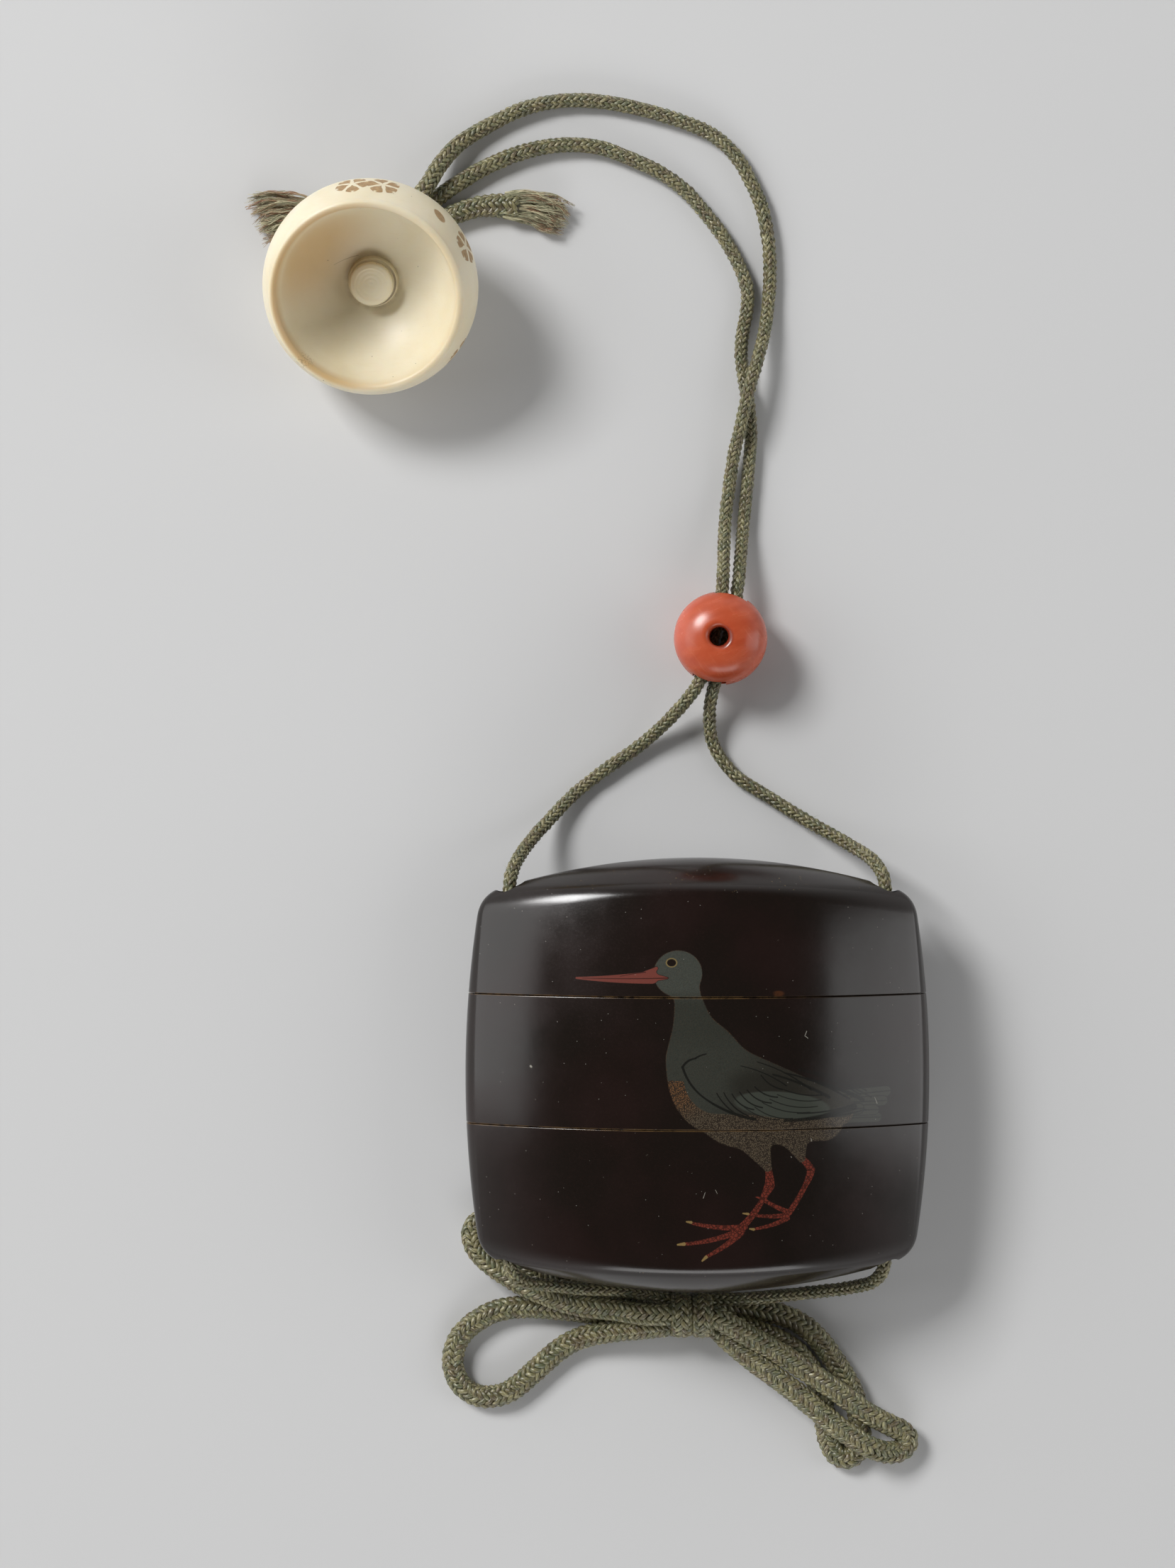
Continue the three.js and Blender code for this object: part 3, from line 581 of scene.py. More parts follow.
class Picture:
    """Paints flat shapes on the front of the case. Every shape gives the signed distance to its
    outline in millimetres, less than 0 inside."""

    def __init__(self, x, y):
        self.x = x
        self.y = y

    def turned(self, origin, turn):
        """Place along and across a line through the origin, turned by an angle in radians."""
        (x0, y0), c, s = origin, math.cos(turn), math.sin(turn)
        along = self.x.math("MULTIPLY_ADD", c, self.y.math("MULTIPLY_ADD", s, -x0 * c - y0 * s))
        across = self.x.math("MULTIPLY_ADD", -s, self.y.math("MULTIPLY_ADD", c, x0 * s - y0 * c))
        return along, across

    def ellipse(self, centre, radii, turn=0.0):
        u, v = self.turned(centre, math.radians(turn))
        u, v = u / radii[0], v / radii[1]
        return ((u * u + v * v).root() - 1) * min(radii)

    def along(self, start, end):
        (x0, y0), (x1, y1) = start, end
        return self.turned(start, math.atan2(y1 - y0, x1 - x0))

    def stroke(self, start, end, half, half_end=None, bend=0.0):
        """A brush stroke that may taper and bow to one side by bend."""
        length = math.dist(start, end)
        half_end = half if half_end is None else half_end
        u, v = self.along(start, end)
        t = (u / length).lowest(1.0).highest(0.0)
        off = u - t * length
        across = v - t * (1 - t) * (4 * bend) if bend else v
        return (off * off + across * across).root() - (t * (half_end - half) + half)


def inside(distance, soft=0.07):
    return distance.above(soft, -soft)


def bird(finish, place):
    """A wading bird that walks to the left. Yields pairs of mask and colour in painting order."""
    x, y, _ = finish.parts(place)
    p = Picture(x, y)
    head_grey = paint(66, 69, 63)
    neck_grey = paint(50, 52, 46)
    mantle_grey = paint(54, 56, 50)
    back_brown = paint(44, 42, 36)
    soot = paint(20, 20, 17)
    pale_feather = paint(60, 63, 56)
    bill_red = paint(108, 57, 49)
    leg_red = paint(108, 48, 37)

    def strokes(rows):
        """The nearest of several strokes: start, end, half width at each, bend."""
        nearest = p.stroke(*rows[0])
        for row in rows[1:]:
            nearest = nearest.lowest(p.stroke(*row))
        return nearest

    # legs and feet with their fine net of dark scales, and pale claws
    legs = strokes((
        ((10.7, -13.4), (11.0, -16.4), 0.5, 0.82, 0.1),
        ((11.0, -16.4), (9.9, -18.6), 0.85, 0.50, 0.0),
        ((9.9, -18.6), (6.8, -22.8), 0.46, 0.62, 0.2),
        ((7.0, -23.0), (-1.3, -22.3), 0.56, 0.27, 0.35),
        ((6.6, -23.5), (-2.3, -25.7), 0.58, 0.28, 0.35),
        ((6.5, -23.9), (1.1, -27.7), 0.58, 0.30, 0.25),
        ((9.9, -18.5), (8.8, -18.2), 0.26, 0.12, 0.0),
        ((15.8, -12.0), (17.6, -14.1), 0.50, 0.66, 0.2),
        ((17.6, -14.1), (16.9, -16.2), 0.70, 0.50, 0.1),
        ((16.9, -16.2), (14.2, -20.8), 0.44, 0.50, 0.1),
        ((13.7, -20.6), (10.1, -18.7), 0.42, 0.34, 0.1),
        ((13.9, -21.2), (7.9, -21.0), 0.44, 0.24, 0.25),
        ((13.9, -21.7), (8.8, -23.3), 0.46, 0.26, 0.25),
    ))
    net = finish.cells(place, 2.0, "DISTANCE_TO_EDGE").above(0.06, 0.16)
    yield inside(legs + 0.04, 0.05) * (net * 0.74 + 0.26), leg_red
    claws = strokes((
        ((-1.4, -22.2), (-2.1, -22.1), 0.22, 0.12), ((-2.5, -25.7), (-3.5, -25.8), 0.28, 0.14),
        ((1.0, -27.8), (0.4, -28.4), 0.26, 0.14), ((7.6, -20.9), (6.8, -20.8), 0.2, 0.1),
        ((8.5, -23.4), (7.9, -23.3), 0.22, 0.12),
    ))
    yield inside(claws, 0.05), paint(128, 106, 66)

    # tail: long feathers with round pale ends, one over the other
    for start, end, half in (
            ((19.0, -2.6), (29.9, -2.0), 0.85), ((18.5, -3.6), (29.4, -3.5), 0.80),
            ((18.0, -5.9), (28.4, -6.1), 0.78), ((18.0, -4.8), (27.9, -4.9), 0.82),
            ((17.0, -4.6), (25.4, -4.6), 0.85)):
        feather = p.stroke(start, end, half, half * 0.92)
        _, v = p.along(start, end)
        shaft = 1 - abs(v).above(0.05, 0.16) * 0.9
        tint = finish.mix(shaft * 0.8, paint(52, 52, 44), soot)
        yield inside(feather - 0.12, 0.06), soot
        yield inside(feather, 0.08) * 0.9, tint

    # breast and belly: buff and rust dots stippled on a dark ground
    chest = p.ellipse((1.0, 1.2), (6.2, 8.6), 8)
    trunk = p.stroke((3.5, -0.8), (22.0, -4.6), 6.9, 2.6)
    belly = p.stroke((6.0, -4.0), (19.6, -6.2), 6.2, 3.3)
    neck = p.stroke((-2.0, 13.6), (-1.0, 4.6), 2.05, 3.9, 0.25)
    head = p.ellipse((-3.5, 17.1), (3.8, 3.6), 6)
    thighs = p.stroke((8.0, -8.0), (10.7, -13.6), 3.1, 0.62).lowest(
        p.stroke((14.5, -7.6), (16.1, -12.2), 2.8, 0.62))
    body = chest.joined(trunk.lowest(belly), 2.5).joined(thighs, 1.8)
    upper = neck.joined(head, 1.6)
    whole = body.joined(upper, 2.4)
    dots = finish.cells(place, 5.6).above(0.60, 0.24)
    rust = (y - x * 0.55).above(-6.0, 0.0)
    tint = finish.mix(rust * 0.8 + 0.15, paint(88, 82, 68), paint(116, 80, 50))
    tint = finish.mix(dots, paint(46, 39, 32), tint)
    yield inside(whole, 0.12) * 0.95, tint

    # head, neck, shoulder and wing
    wing = p.stroke((3.0, 0.6), (22.6, -3.0), 5.6, 2.9)
    ragged = finish.noise(place, 3.4, 2.0) * 1.2 - 0.4
    cover = wing.lowest(ragged - y)
    cover = cover.highest(whole)
    tint = finish.mix(y.above(15.0, 12.0), head_grey, neck_grey)
    tint = finish.mix(y.above(8.5, 4.0), tint, mantle_grey)
    tint = finish.mix((x - y * 0.6).above(2.0, 13.0), tint, back_brown)
    grain = finish.noise(place, 5.0, 2.0, 0.8).above(0.35, 0.75)
    tint = finish.mix(grain * 0.35, tint, soot)
    yield inside(cover, 0.10) * 0.96, tint

    # the folded wing: dark coverts, a pale patch of secondaries, long dark primaries
    coverts = p.ellipse((10.2, -1.2), (6.4, 3.2), -12)
    yield coverts.above(0.6, -1.4) * 0.6, paint(34, 32, 27)
    patch = p.ellipse((13.0, -3.7), (7.6, 2.1), -6).highest(whole)
    yield inside(patch, 0.12), pale_feather
    blade = strokes((
        ((13.4, -6.1), (24.6, -4.3), 0.22, 0.50, -0.5),
        ((17.0, 0.4), (26.0, -3.2), 0.20, 0.34, 0.3),
        ((11.5, 1.2), (20.5, -2.6), 0.14, 0.26, 0.3),
    ))
    yield inside(blade, 0.12) * 0.85, soot
    lines = strokes((
        # shoulder
        ((0.9, 4.5), (-0.8, 3.8), 0.10, 0.15, -0.1), ((-0.8, 3.8), (-2.8, 2.4), 0.15, 0.20, -0.3),
        ((-2.8, 2.5), (0.6, -2.4), 0.20, 0.15, -0.5), ((0.6, -2.4), (8.6, -5.8), 0.15, 0.28, -0.5),
        # coverts
        ((2.6, -1.7), (6.4, -5.4), 0.10, 0.12, -0.4), ((3.7, -1.6), (7.6, -5.3), 0.10, 0.12, -0.5),
        ((5.0, -1.8), (8.4, -4.3), 0.10, 0.12, -0.5), ((6.2, -1.5), (9.8, -4.0), 0.10, 0.12, -0.5),
        ((7.4, -1.2), (11.2, -3.3), 0.10, 0.12, -0.5), ((8.6, -0.7), (12.2, -2.4), 0.10, 0.12, -0.4),
        ((9.6, 1.1), (13.0, -1.2), 0.09, 0.12, -0.4),
        # edges of the secondaries
        ((6.4, -3.4), (12.4, -6.0), 0.07, 0.08, -0.6), ((8.6, -3.9), (14.6, -5.8), 0.07, 0.08, -0.6),
        ((9.8, -3.2), (17.4, -4.9), 0.07, 0.08, -0.6), ((11.0, -2.7), (18.6, -4.0), 0.07, 0.08, -0.6),
        ((12.2, -2.0), (19.2, -3.0), 0.07, 0.08, -0.5), ((13.2, -1.2), (19.4, -2.2), 0.08, 0.1, -0.4),
        # primaries
        ((13.4, 1.4), (23.8, -3.0), 0.12, 0.16, 0.5), ((15.6, 1.9), (25.6, -2.4), 0.12, 0.14, 0.5),
        ((18.0, 1.5), (26.6, -1.8), 0.10, 0.12, 0.4), ((15.4, -5.0), (24.4, -3.9), 0.1, 0.14, -0.4),
        ((9.0, 3.2), (17.6, -1.4), 0.08, 0.12, 0.5), ((6.4, 2.6), (13.6, -0.6), 0.07, 0.10, 0.4),
        ((16.8, -5.9), (26.4, -4.8), 0.1, 0.14, -0.3), ((20.4, 0.2), (27.4, -2.9), 0.1, 0.12, 0.3),
    ))
    yield inside(lines, 0.07) * 0.9, soot

    # bill and eye
    bill = p.stroke((-7.6, 16.5), (-19.5, 16.25), 1.0, 0.16, 0.16)
    bill = bill.joined(p.stroke((-8.2, 16.9), (-6.9, 17.9), 0.7, 0.25), 0.5)
    bill = bill.joined(p.stroke((-7.4, 16.5), (-5.2, 16.4), 0.62, 0.14), 0.3)
    yield inside(bill - 0.09, 0.05) * 0.8, soot
    yield inside(bill, 0.06), bill_red
    creases = strokes((
        ((-5.0, 16.4), (-18.6, 16.25), 0.09, 0.05, 0.08),
        ((-8.6, 17.3), (-12.6, 16.6), 0.08, 0.04, -0.06),
    ))
    yield inside(creases, 0.05) * 0.85, paint(48, 26, 22)
    eye = p.ellipse((-4.5, 18.8), (0.82, 0.66))
    yield inside(abs(eye) - 0.07, 0.06) * 0.8, paint(132, 112, 66)
    yield inside(eye + 0.1, 0.06), paint(26, 18, 13)

    # specks and short hairs of lighter dust
    marks = strokes((
        ((2.4, -17.0), (2.7, -17.6), 0.03, 0.03), ((0.8, -17.4), (0.5, -18.3), 0.03, 0.05),
        ((16.9, 7.9), (16.6, 7.2), 0.05, 0.04), ((16.6, 7.2), (17.1, 6.8), 0.04, 0.05),
        ((28.0, -2.9), (28.4, -3.9), 0.03, 0.05), ((17.6, -9.1), (17.7, -9.5), 0.05, 0.05),
        ((-26.8, 2.1), (-26.7, 2.0), 0.16, 0.16), ((14.4, -11.9), (14.5, -12.0), 0.05, 0.05),
    ))
    yield inside(marks, 0.04) * 0.6, paint(176, 172, 160)


def lacquer():
    settings = bpy.context.scene.inro_finish
    finish = Finish("dark lacquer")
    place = finish.place()
    x, y, z = finish.parts(place)
    cloudy = finish.noise(place, 0.06, 4.0).above(0.35, 0.7)
    colour = finish.mix(cloudy, tuple(settings.lacquer), tuple(settings.lacquer_cloud))
    fine = finish.noise(place, 2.6, 2.0, 0.7).above(0.45, 0.75)
    colour = finish.mix(fine * 0.35, colour, paint(34, 21, 17))

    front = z.above(AXIS_Z + 1.0, AXIS_Z + 2.0)
    rubbed = 1 - finish.noise(place, 9.0, 3.0, 0.8).above(0.58, 0.74) * 0.55
    for mask, tint in bird(finish, place):
        colour = finish.mix(mask * front * rubbed, colour, tint)

    # the worn edges of the two seams show gold-brown ground lacquer
    wear = finish.noise(place, 0.55, 3.0, 0.6)
    for seam in (LID_SEAM, BOTTOM_SEAM):
        near = abs(y - seam).above(0.24, 0.10)
        worn = wear.above(0.36, 0.60) * x.above(22.0, 4.0)
        colour = finish.mix(near * (worn * 0.5 + 0.05), colour, paint(122, 94, 58))
    chip = finish.mapped(place, (12.4, 13.9, 0), (0, 0, 0), (1.2, 0.6, 99.0))
    chip = finish.vector("LENGTH", chip).above(1.0, 0.5) * wear.above(0.3, 0.5)
    colour = finish.mix(chip * front * 0.4, colour, paint(96, 56, 30))

    # gold flecks at the rim, dust and fine scratches
    flecks = finish.cells(place, 1.6).above(0.16, 0.08)
    rim = abs(y).above(29.5, 31.0) * abs(y).above(34.2, 33.4)
    rare = finish.noise(place, 0.3, 2.0).above(0.52, 0.62)
    colour = finish.mix(flecks * rim * rare * 0.7, colour, paint(140, 118, 74))
    dust = finish.cells(place, 0.62).above(0.055, 0.03)
    colour = finish.mix(dust * 0.5, colour, paint(150, 146, 138))
    long_way = finish.mapped(place, (0, 0, 0), (0, 0, 0.6), (5.0, 0.6, 1.0))
    scratch = finish.cells(long_way, 0.42).above(0.03, 0.015)
    colour = finish.mix(scratch * 0.35, colour, paint(120, 112, 100))

    smear = finish.noise(place, 0.12, 3.0).above(0.3, 0.75)
    roughness = smear * 0.06 + fine * 0.03 + dust * 0.2 + 0.16
    orange_peel = finish.noise(place, 0.22, 2.0) * 0.02 + finish.noise(place, 3.0, 2.0) * 0.002
    return finish.surface(
        Base_Color=colour, Roughness=roughness, Specular_IOR_Level=0.5,
        Normal=finish.bump(orange_peel, 1.0, 0.5))


# ---------------------------------------------------------------- the cords

def curve_through(points, step):
    """Points step apart on a centripetal Catmull-Rom curve through the given ones."""
    p = np.array(points, float)
    p = np.vstack([2 * p[0] - p[1], p, 2 * p[-1] - p[-2]])
    gaps = np.sqrt(np.linalg.norm(np.diff(p, axis=0), axis=1))
    fine = []
    t = np.linspace(0, 1, 24, endpoint=False)[:, None]
    for i in range(1, len(p) - 2):
        before, here, after = gaps[i - 1], gaps[i], gaps[i + 1]
        start = here * ((p[i] - p[i - 1]) / before - (p[i + 1] - p[i - 1]) / (before + here)
                        + (p[i + 1] - p[i]) / here)
        end = here * ((p[i + 1] - p[i]) / here - (p[i + 2] - p[i]) / (here + after)
                      + (p[i + 2] - p[i + 1]) / after)
        fine.append(p[i] + start * t + (3 * (p[i + 1] - p[i]) - 2 * start - end) * t ** 2
                    + (2 * (p[i] - p[i + 1]) + start + end) * t ** 3)
    line = np.vstack([*fine, p[-2:-1]])
    far = np.concatenate([[0], np.cumsum(np.linalg.norm(np.diff(line, axis=0), axis=1))])
    at = np.linspace(0, far[-1], max(4, round(far[-1] / step)) + 1)
    return np.stack([np.interp(at, far, line[:, k]) for k in range(3)], axis=1)


def unit(vectors):
    return vectors / np.maximum(np.linalg.norm(vectors, axis=-1, keepdims=True), 1e-12)


def across_line(line, hint=UP):
    """The sideways and upward directions at each point of a line."""
    along = unit(np.gradient(line, axis=-2))
    side = unit(np.cross(along, np.broadcast_to(hint, along.shape)))
    return side, np.cross(side, along)


class Threads:
    """Collects many closed threads into one mesh. A thread's UVs run along it in millimetres,
    and across it from its own whole number to the next."""

    def __init__(self):
        self.points, self.faces, self.uvs, self.kinds, self.raised = [], [], [], [], []
        self.count = 0
        self.number = 0

    def add(self, paths, outward, half_wide, half_high, sides, kind=0, raised=1.0):
        """paths and outward are (threads, steps, 3); the half sizes and raised, 0 for a low place and
        1 for a high one, are numbers or arrays. The materials paint shade where raised is low."""
        threads, steps, _ = paths.shape
        along = unit(np.gradient(paths, axis=1))
        wide = unit(np.cross(along, outward))
        high = np.cross(wide, along)
        angle = (np.arange(sides) + 0.5) * TURN / sides
        half_wide = np.broadcast_to(half_wide, (threads, steps))[..., None, None]
        half_high = np.broadcast_to(half_high, (threads, steps))[..., None, None]
        ring = (np.cos(angle)[:, None] * wide[:, :, None] * half_wide
                + np.sin(angle)[:, None] * high[:, :, None] * half_high)
        points = (paths[:, :, None] + ring).reshape(-1, 3)
        index = np.arange(threads * steps * sides).reshape(threads, steps, sides) + self.count
        beside = np.roll(index, -1, axis=2)
        quads = np.stack([index[:, :-1], beside[:, :-1], beside[:, 1:], index[:, 1:]], axis=-1)
        far = np.arange(steps) * np.linalg.norm(paths[0, 1] - paths[0, 0])
        place = np.zeros((threads, steps, sides + 1, 2))
        place[..., 0] = far[None, :, None]
        place[..., 1] = (self.number + np.arange(threads))[:, None, None] \
            + np.arange(sides + 1) / (sides + 0.001)
        corners = np.stack([place[:, :-1, :-1], place[:, :-1, 1:], place[:, 1:, 1:],
                            place[:, 1:, :-1]], axis=-2)
        caps = np.concatenate([index[:, 0, ::-1], index[:, -1]])
        cap_uvs = np.concatenate([place[:, 0, -2::-1], place[:, -1, :-1]])
        self.points.append(points)
        raised = np.broadcast_to(raised, (threads, steps))[..., None]
        self.raised.append(np.repeat(raised, sides, axis=2).ravel())
        self.faces += quads.reshape(-1, 4).tolist() + caps.tolist()
        self.uvs += [corners.reshape(-1, 2), cap_uvs.reshape(-1, 2)]
        self.kinds += [kind] * (quads.size // 4 + len(caps))
        self.count += len(points)
        self.number += threads

    def mesh(self, name):
        mesh = bpy.data.meshes.new(name)
        mesh.from_pydata(np.vstack(self.points) * MM, [], self.faces)
        layer = mesh.uv_layers.new(name="threads")
        layer.data.foreach_set("uv", np.vstack(self.uvs).astype(np.float32).ravel())
        mesh.polygons.foreach_set("material_index", self.kinds)
        layer = mesh.attributes.new("raised", "FLOAT", "POINT")
        layer.data.foreach_set("value", np.concatenate(self.raised).astype(np.float32))
        mesh.update()
        return mesh


def wander(random, count, knots, steps):
    """Smooth random walks between -1 and 1, one a row."""
    values = random.uniform(-1, 1, (count, knots))
    at = np.linspace(0, knots - 1, steps)
    low = np.minimum(at.astype(int), knots - 2)
    share = at - low
    ease = share * share * (3 - 2 * share)
    return values[:, low] * (1 - ease) + values[:, low + 1] * ease


def braid(threads, line, half_width, half_height, random, hint=UP, twist=0.0):
    """The braided strands of a cord round its line, over a dark core that stands in for the shade
    inside the braid.
    """
    b = BRAID
    steps = len(line)
    length = np.linalg.norm(np.diff(line, axis=0), axis=1).sum()
    side, up = across_line(line, hint)
    far = np.linspace(0, length, steps)
    # the braid is a little closer or looser from place to place
    knots = max(3, int(length / 9))
    crossings = (far / b["pitch"] * 2 * b["each_way"]
                 + 0.9 * wander(random, 1, knots, steps)[0])
    roll = twist * far / length + 0.25 * wander(random, 1, knots, steps)[0]
    spread = half_width / 1.2
    half_wide = b["half_wide"] * spread ** 0.7
    half_thick = b["half_thick"] * spread ** 0.4
    high = half_height - half_thick - b["lift"]
    wide = half_width - half_thick - b["lift"]
    paths, outward, raised = [], [], []
    for way in (1, -1):
        for k in range(b["each_way"]):
            column = 2 * k + way * crossings
            angle = TURN * column / (2 * b["each_way"])
            angle = angle + 0.03 * wander(random, 1, knots * 3, steps)[0]
            over = way * np.cos(TURN * (column - 0.5) / 4)
            lift = b["lift"] * over + 0.05 * wander(random, 1, knots * 3, steps)[0]
            angle = angle + roll
            flat = np.stack([wide * np.cos(angle), high * np.sin(angle)], axis=1)
            out = unit(np.stack([high * np.cos(angle), wide * np.sin(angle)], axis=1))
            flat = flat + out * lift[:, None]
            paths.append(line + side * flat[:, :1] + up * flat[:, 1:])
            outward.append(side * out[:, :1] + up * out[:, 1:])
            raised.append(0.5 + 0.5 * over)
    size = 1 + 0.08 * wander(random, len(paths), knots * 3, steps)
    threads.add(np.array(paths), np.array(outward), half_wide * size, half_thick * size,
                b["sides"], raised=np.array(raised))
    threads.add(line[None], up[None], wide * 0.86, high * 0.86, 8, kind=1, raised=0.0)


def fuzz(threads, line, radius, random, each_mm=1.3):
    """Fine hairs that stand off a cord."""
    side, up = across_line(line)
    along = unit(np.gradient(line, axis=0))
    length = np.linalg.norm(np.diff(line, axis=0), axis=1).sum()
    count = int(length * each_mm)
    at = random.integers(2, len(line) - 2, count)
    angle = random.uniform(-0.6, math.pi + 0.6, count)[:, None]
    out = side[at] * np.cos(angle) + up[at] * np.sin(angle)
    lean = along[at] * random.uniform(-1, 1, (count, 1))
    lean = lean + 0.5 * random.uniform(-1, 1, (count, 3))
    size = random.uniform(0.3, 0.9, (count, 1))
    t = np.linspace(0, 1, 5)[None, :, None]
    radius = np.broadcast_to(radius, len(line))[at, None]
    start = line[at] + out * radius * 0.93
    paths = (start[:, None] + out[:, None] * size[:, None] * (t - 0.4 * t * t)
             + lean[:, None] * size[:, None] * t * (0.5 + 0.5 * t))
    paths[..., 2] = np.maximum(paths[..., 2], 0.03)
    thin = np.broadcast_to(0.016 * (1 - 0.6 * t[..., 0]), paths.shape[:2])
    threads.add(paths, np.broadcast_to(out[:, None], paths.shape), thin, thin, 3, kind=2)


BUNDLE = 14  # loose threads in one bundle


def tuft(threads, route, half_widths, random, bundles=44, each=BUNDLE):
    """Loose threads that open from the end of a cord, in wavy bundles, along a route."""
    steps = 16
    line = curve_through(route, 0.1)
    line = line[np.linspace(0, len(line) - 1, steps).astype(int)]
    side, _ = across_line(line)
    t = np.linspace(0, 1, steps)
    spread = np.interp(t, np.linspace(0, 1, len(half_widths)), half_widths)
    count = bundles * each
    place = np.linspace(-0.93, 0.93, bundles) + random.uniform(-0.12, 0.12, bundles)
    place = np.repeat(place, each)
    level = np.repeat(random.uniform(-1, 1, bundles), each)
    wave = np.repeat(wander(random, bundles, 7, steps), each, axis=0)
    bob = np.repeat(wander(random, bundles, 6, steps), each, axis=0)
    reach = np.repeat(random.uniform(0.80, 1.0, bundles), each) * random.uniform(0.86, 1.0, count)
    # a thread starts within the braid and ends where its bundle does, a little early or late
    at = np.minimum(t[None] * reach[:, None], 1) * (steps - 1)
    low = np.minimum(at.astype(int), steps - 2)
    share = (at - low)[..., None]
    middle = line[low] * (1 - share) + line[low + 1] * share
    across = side[low]
    open_ = np.interp(at, np.arange(steps), spread)
    loose = 0.10 + 0.55 * t[None]
    off = place[:, None] * open_ + 0.42 * wave * loose * 2
    off = off + 0.62 * wander(random, count, 7, steps) * loose + random.uniform(
        -0.20, 0.20, (count, 1))
    height = level[:, None] * (1 - 0.35 * t[None]) + 0.5 * bob * loose * 2
    height = height + 0.6 * wander(random, count, 7, steps) * loose
    paths = middle + across * off[..., None] + UP * height[..., None]
    paths[..., 2] = np.clip(paths[..., 2], 0.08, 3.1)
    thick = random.uniform(0.035, 0.075, (count, 1)) * (1 - 0.4 * t[None] ** 2)
    # how high each thread lies, 0 to 1; the loose threads' material paints shade on the low ones
    high = np.clip(0.45 + 0.3 * level[:, None] + 0.3 * t[None], 0, 1)
    threads.add(paths, np.broadcast_to(UP, paths.shape), thick, thick, 4, kind=2, raised=high)


def along_threads(finish):
    """Distance along a thread in millimetres, its number, the place across it, its height."""
    u, v, _ = finish.parts(finish.value("ShaderNodeTexCoord", output="UV"))
    raised = finish.value("ShaderNodeAttribute", {"attribute_name": "raised"}, output="Fac")
    number = v.math("FLOOR")
    return u, number, v - number, raised


def braid_finish():
    """Silk strands in mossy green, straw and brown, rougher and with painted shade where they dive
    under each other, and painted shade and highlights along their fibres.
    """
    settings = bpy.context.scene.inro_cord
    finish = Finish("braided silk")
    u, number, across, raised = along_threads(finish)
    run = finish.value("ShaderNodeCombineXYZ", None, {0: u * 0.42, 1: number * 7.31, 2: 0.0})
    colour = finish.mix(finish.noise(run, 1.0, 2.0).above(0.36, 0.62),
                        tuple(settings.moss), tuple(settings.straw))
    brown = finish.noise(finish.vector("ADD", run, (9.0, 3.0, 0.0)), 0.8, 2.0)
    colour = finish.mix(brown.above(0.46, 0.64) * 0.65, colour, paint(92, 74, 54))
    green = finish.noise(finish.vector("ADD", run, (2.0, 31.0, 0.0)), 0.7, 2.0)
    colour = finish.mix(green.above(0.54, 0.70) * 0.45, colour, paint(86, 98, 76))
    twist = finish.value("ShaderNodeCombineXYZ", None, {
        0: u * 1.1, 1: (across + u * 0.22) * 9.0, 2: number * 3.7})
    fibre = finish.noise(twist, 1.0, 2.0, 0.6)
    # painted shade in the grooves between the fibres and painted highlights on their crests
    colour = finish.mix(fibre.above(0.50, 0.32) * 0.65, colour, paint(50, 43, 26))
    colour = finish.mix(fibre.above(0.54, 0.68) * 0.6, colour, paint(200, 193, 152))
    # painted shade where a strand dives under the others, darker the lower it lies
    dive_shade = raised.above(0.72, 0.12)
    colour = finish.mix(dive_shade * 0.85, colour, paint(34, 30, 20))
    return finish.surface(
        Base_Color=colour, Roughness=0.34 + dive_shade * 0.3, Specular_IOR_Level=0.7,
        Normal=finish.bump(fibre, 0.12, 1.0))


def shade_core_finish():
    finish = Finish("painted shade inside the braid")
    # near-black browns: painted shade for the inside of the braid, seen through the gaps between
    # strands
    tone = finish.mix(finish.noise(finish.place(), 2.0), paint(24, 20, 12), paint(40, 35, 22))
    return finish.surface(Base_Color=tone, Roughness=0.9)


def loose_finish():
    """Teased silk: straw and grey-green, with tips that have gone rusty brown, and painted shade on
    the threads that lie low.
    """
    finish = Finish("loose threads")
    u, number, _, raised = along_threads(finish)
    bundle = (number / BUNDLE).math("FLOOR")
    run = finish.value("ShaderNodeCombineXYZ", None, {0: u * 0.10, 1: bundle * 3.17, 2: number * 0.1})
    colour = finish.mix(finish.noise(run, 1.0, 2.0).above(0.42, 0.56),
                        paint(206, 198, 164), paint(158, 156, 124))
    rust = finish.noise(finish.vector("ADD", run, (5.0, 17.0, 0.0)), 1.0, 1.0)
    colour = finish.mix(rust.above(0.46, 0.58) * u.above(1.0, 5.0) * 0.85, colour,
                        paint(150, 98, 68))
    green = finish.noise(finish.vector("ADD", run, (1.0, 57.0, 0.0)), 1.0, 1.0)
    colour = finish.mix(green.above(0.54, 0.64) * 0.7, colour, paint(104, 112, 88))
    # painted shade on the threads that lie low under the others
    colour = finish.mix(raised.above(0.5, 0.1) * 0.5, colour, paint(84, 74, 54))
    return finish.surface(Base_Color=colour, Roughness=0.5, Sheen_Weight=0.2)


# ---------------------------------------------------------------- netsuke and bead

def netsuke_place():
    """Where the netsuke stands: its base centre and its lean, as the solids have it."""
    n = NETSUKE
    axis = Vector(n["axis"]).normalized()
    lean = Vector((0, 0, 1)).rotation_difference(axis)
    reach = [(n["rest_radius"] + (n["radius"] - n["rest_radius"]) * math.sin(a),
              n["widest_at"] * (1 - math.cos(a))) for a in np.linspace(0, math.pi / 2, 60)]
    tilt = math.hypot(axis.x, axis.y)
    lowest = min(height * axis.z - radius * tilt for radius, height in reach)
    base = Vector((*n["centre"], 0)) - axis * n["widest_at"]
    base.z = -lowest
    return Matrix.Translation(base) @ lean.to_matrix().to_4x4()


BOWL_CURVE = (NETSUKE["bowl_radius"] ** 2 + NETSUKE["bowl_depth"] ** 2) / (
    2 * NETSUKE["bowl_depth"])


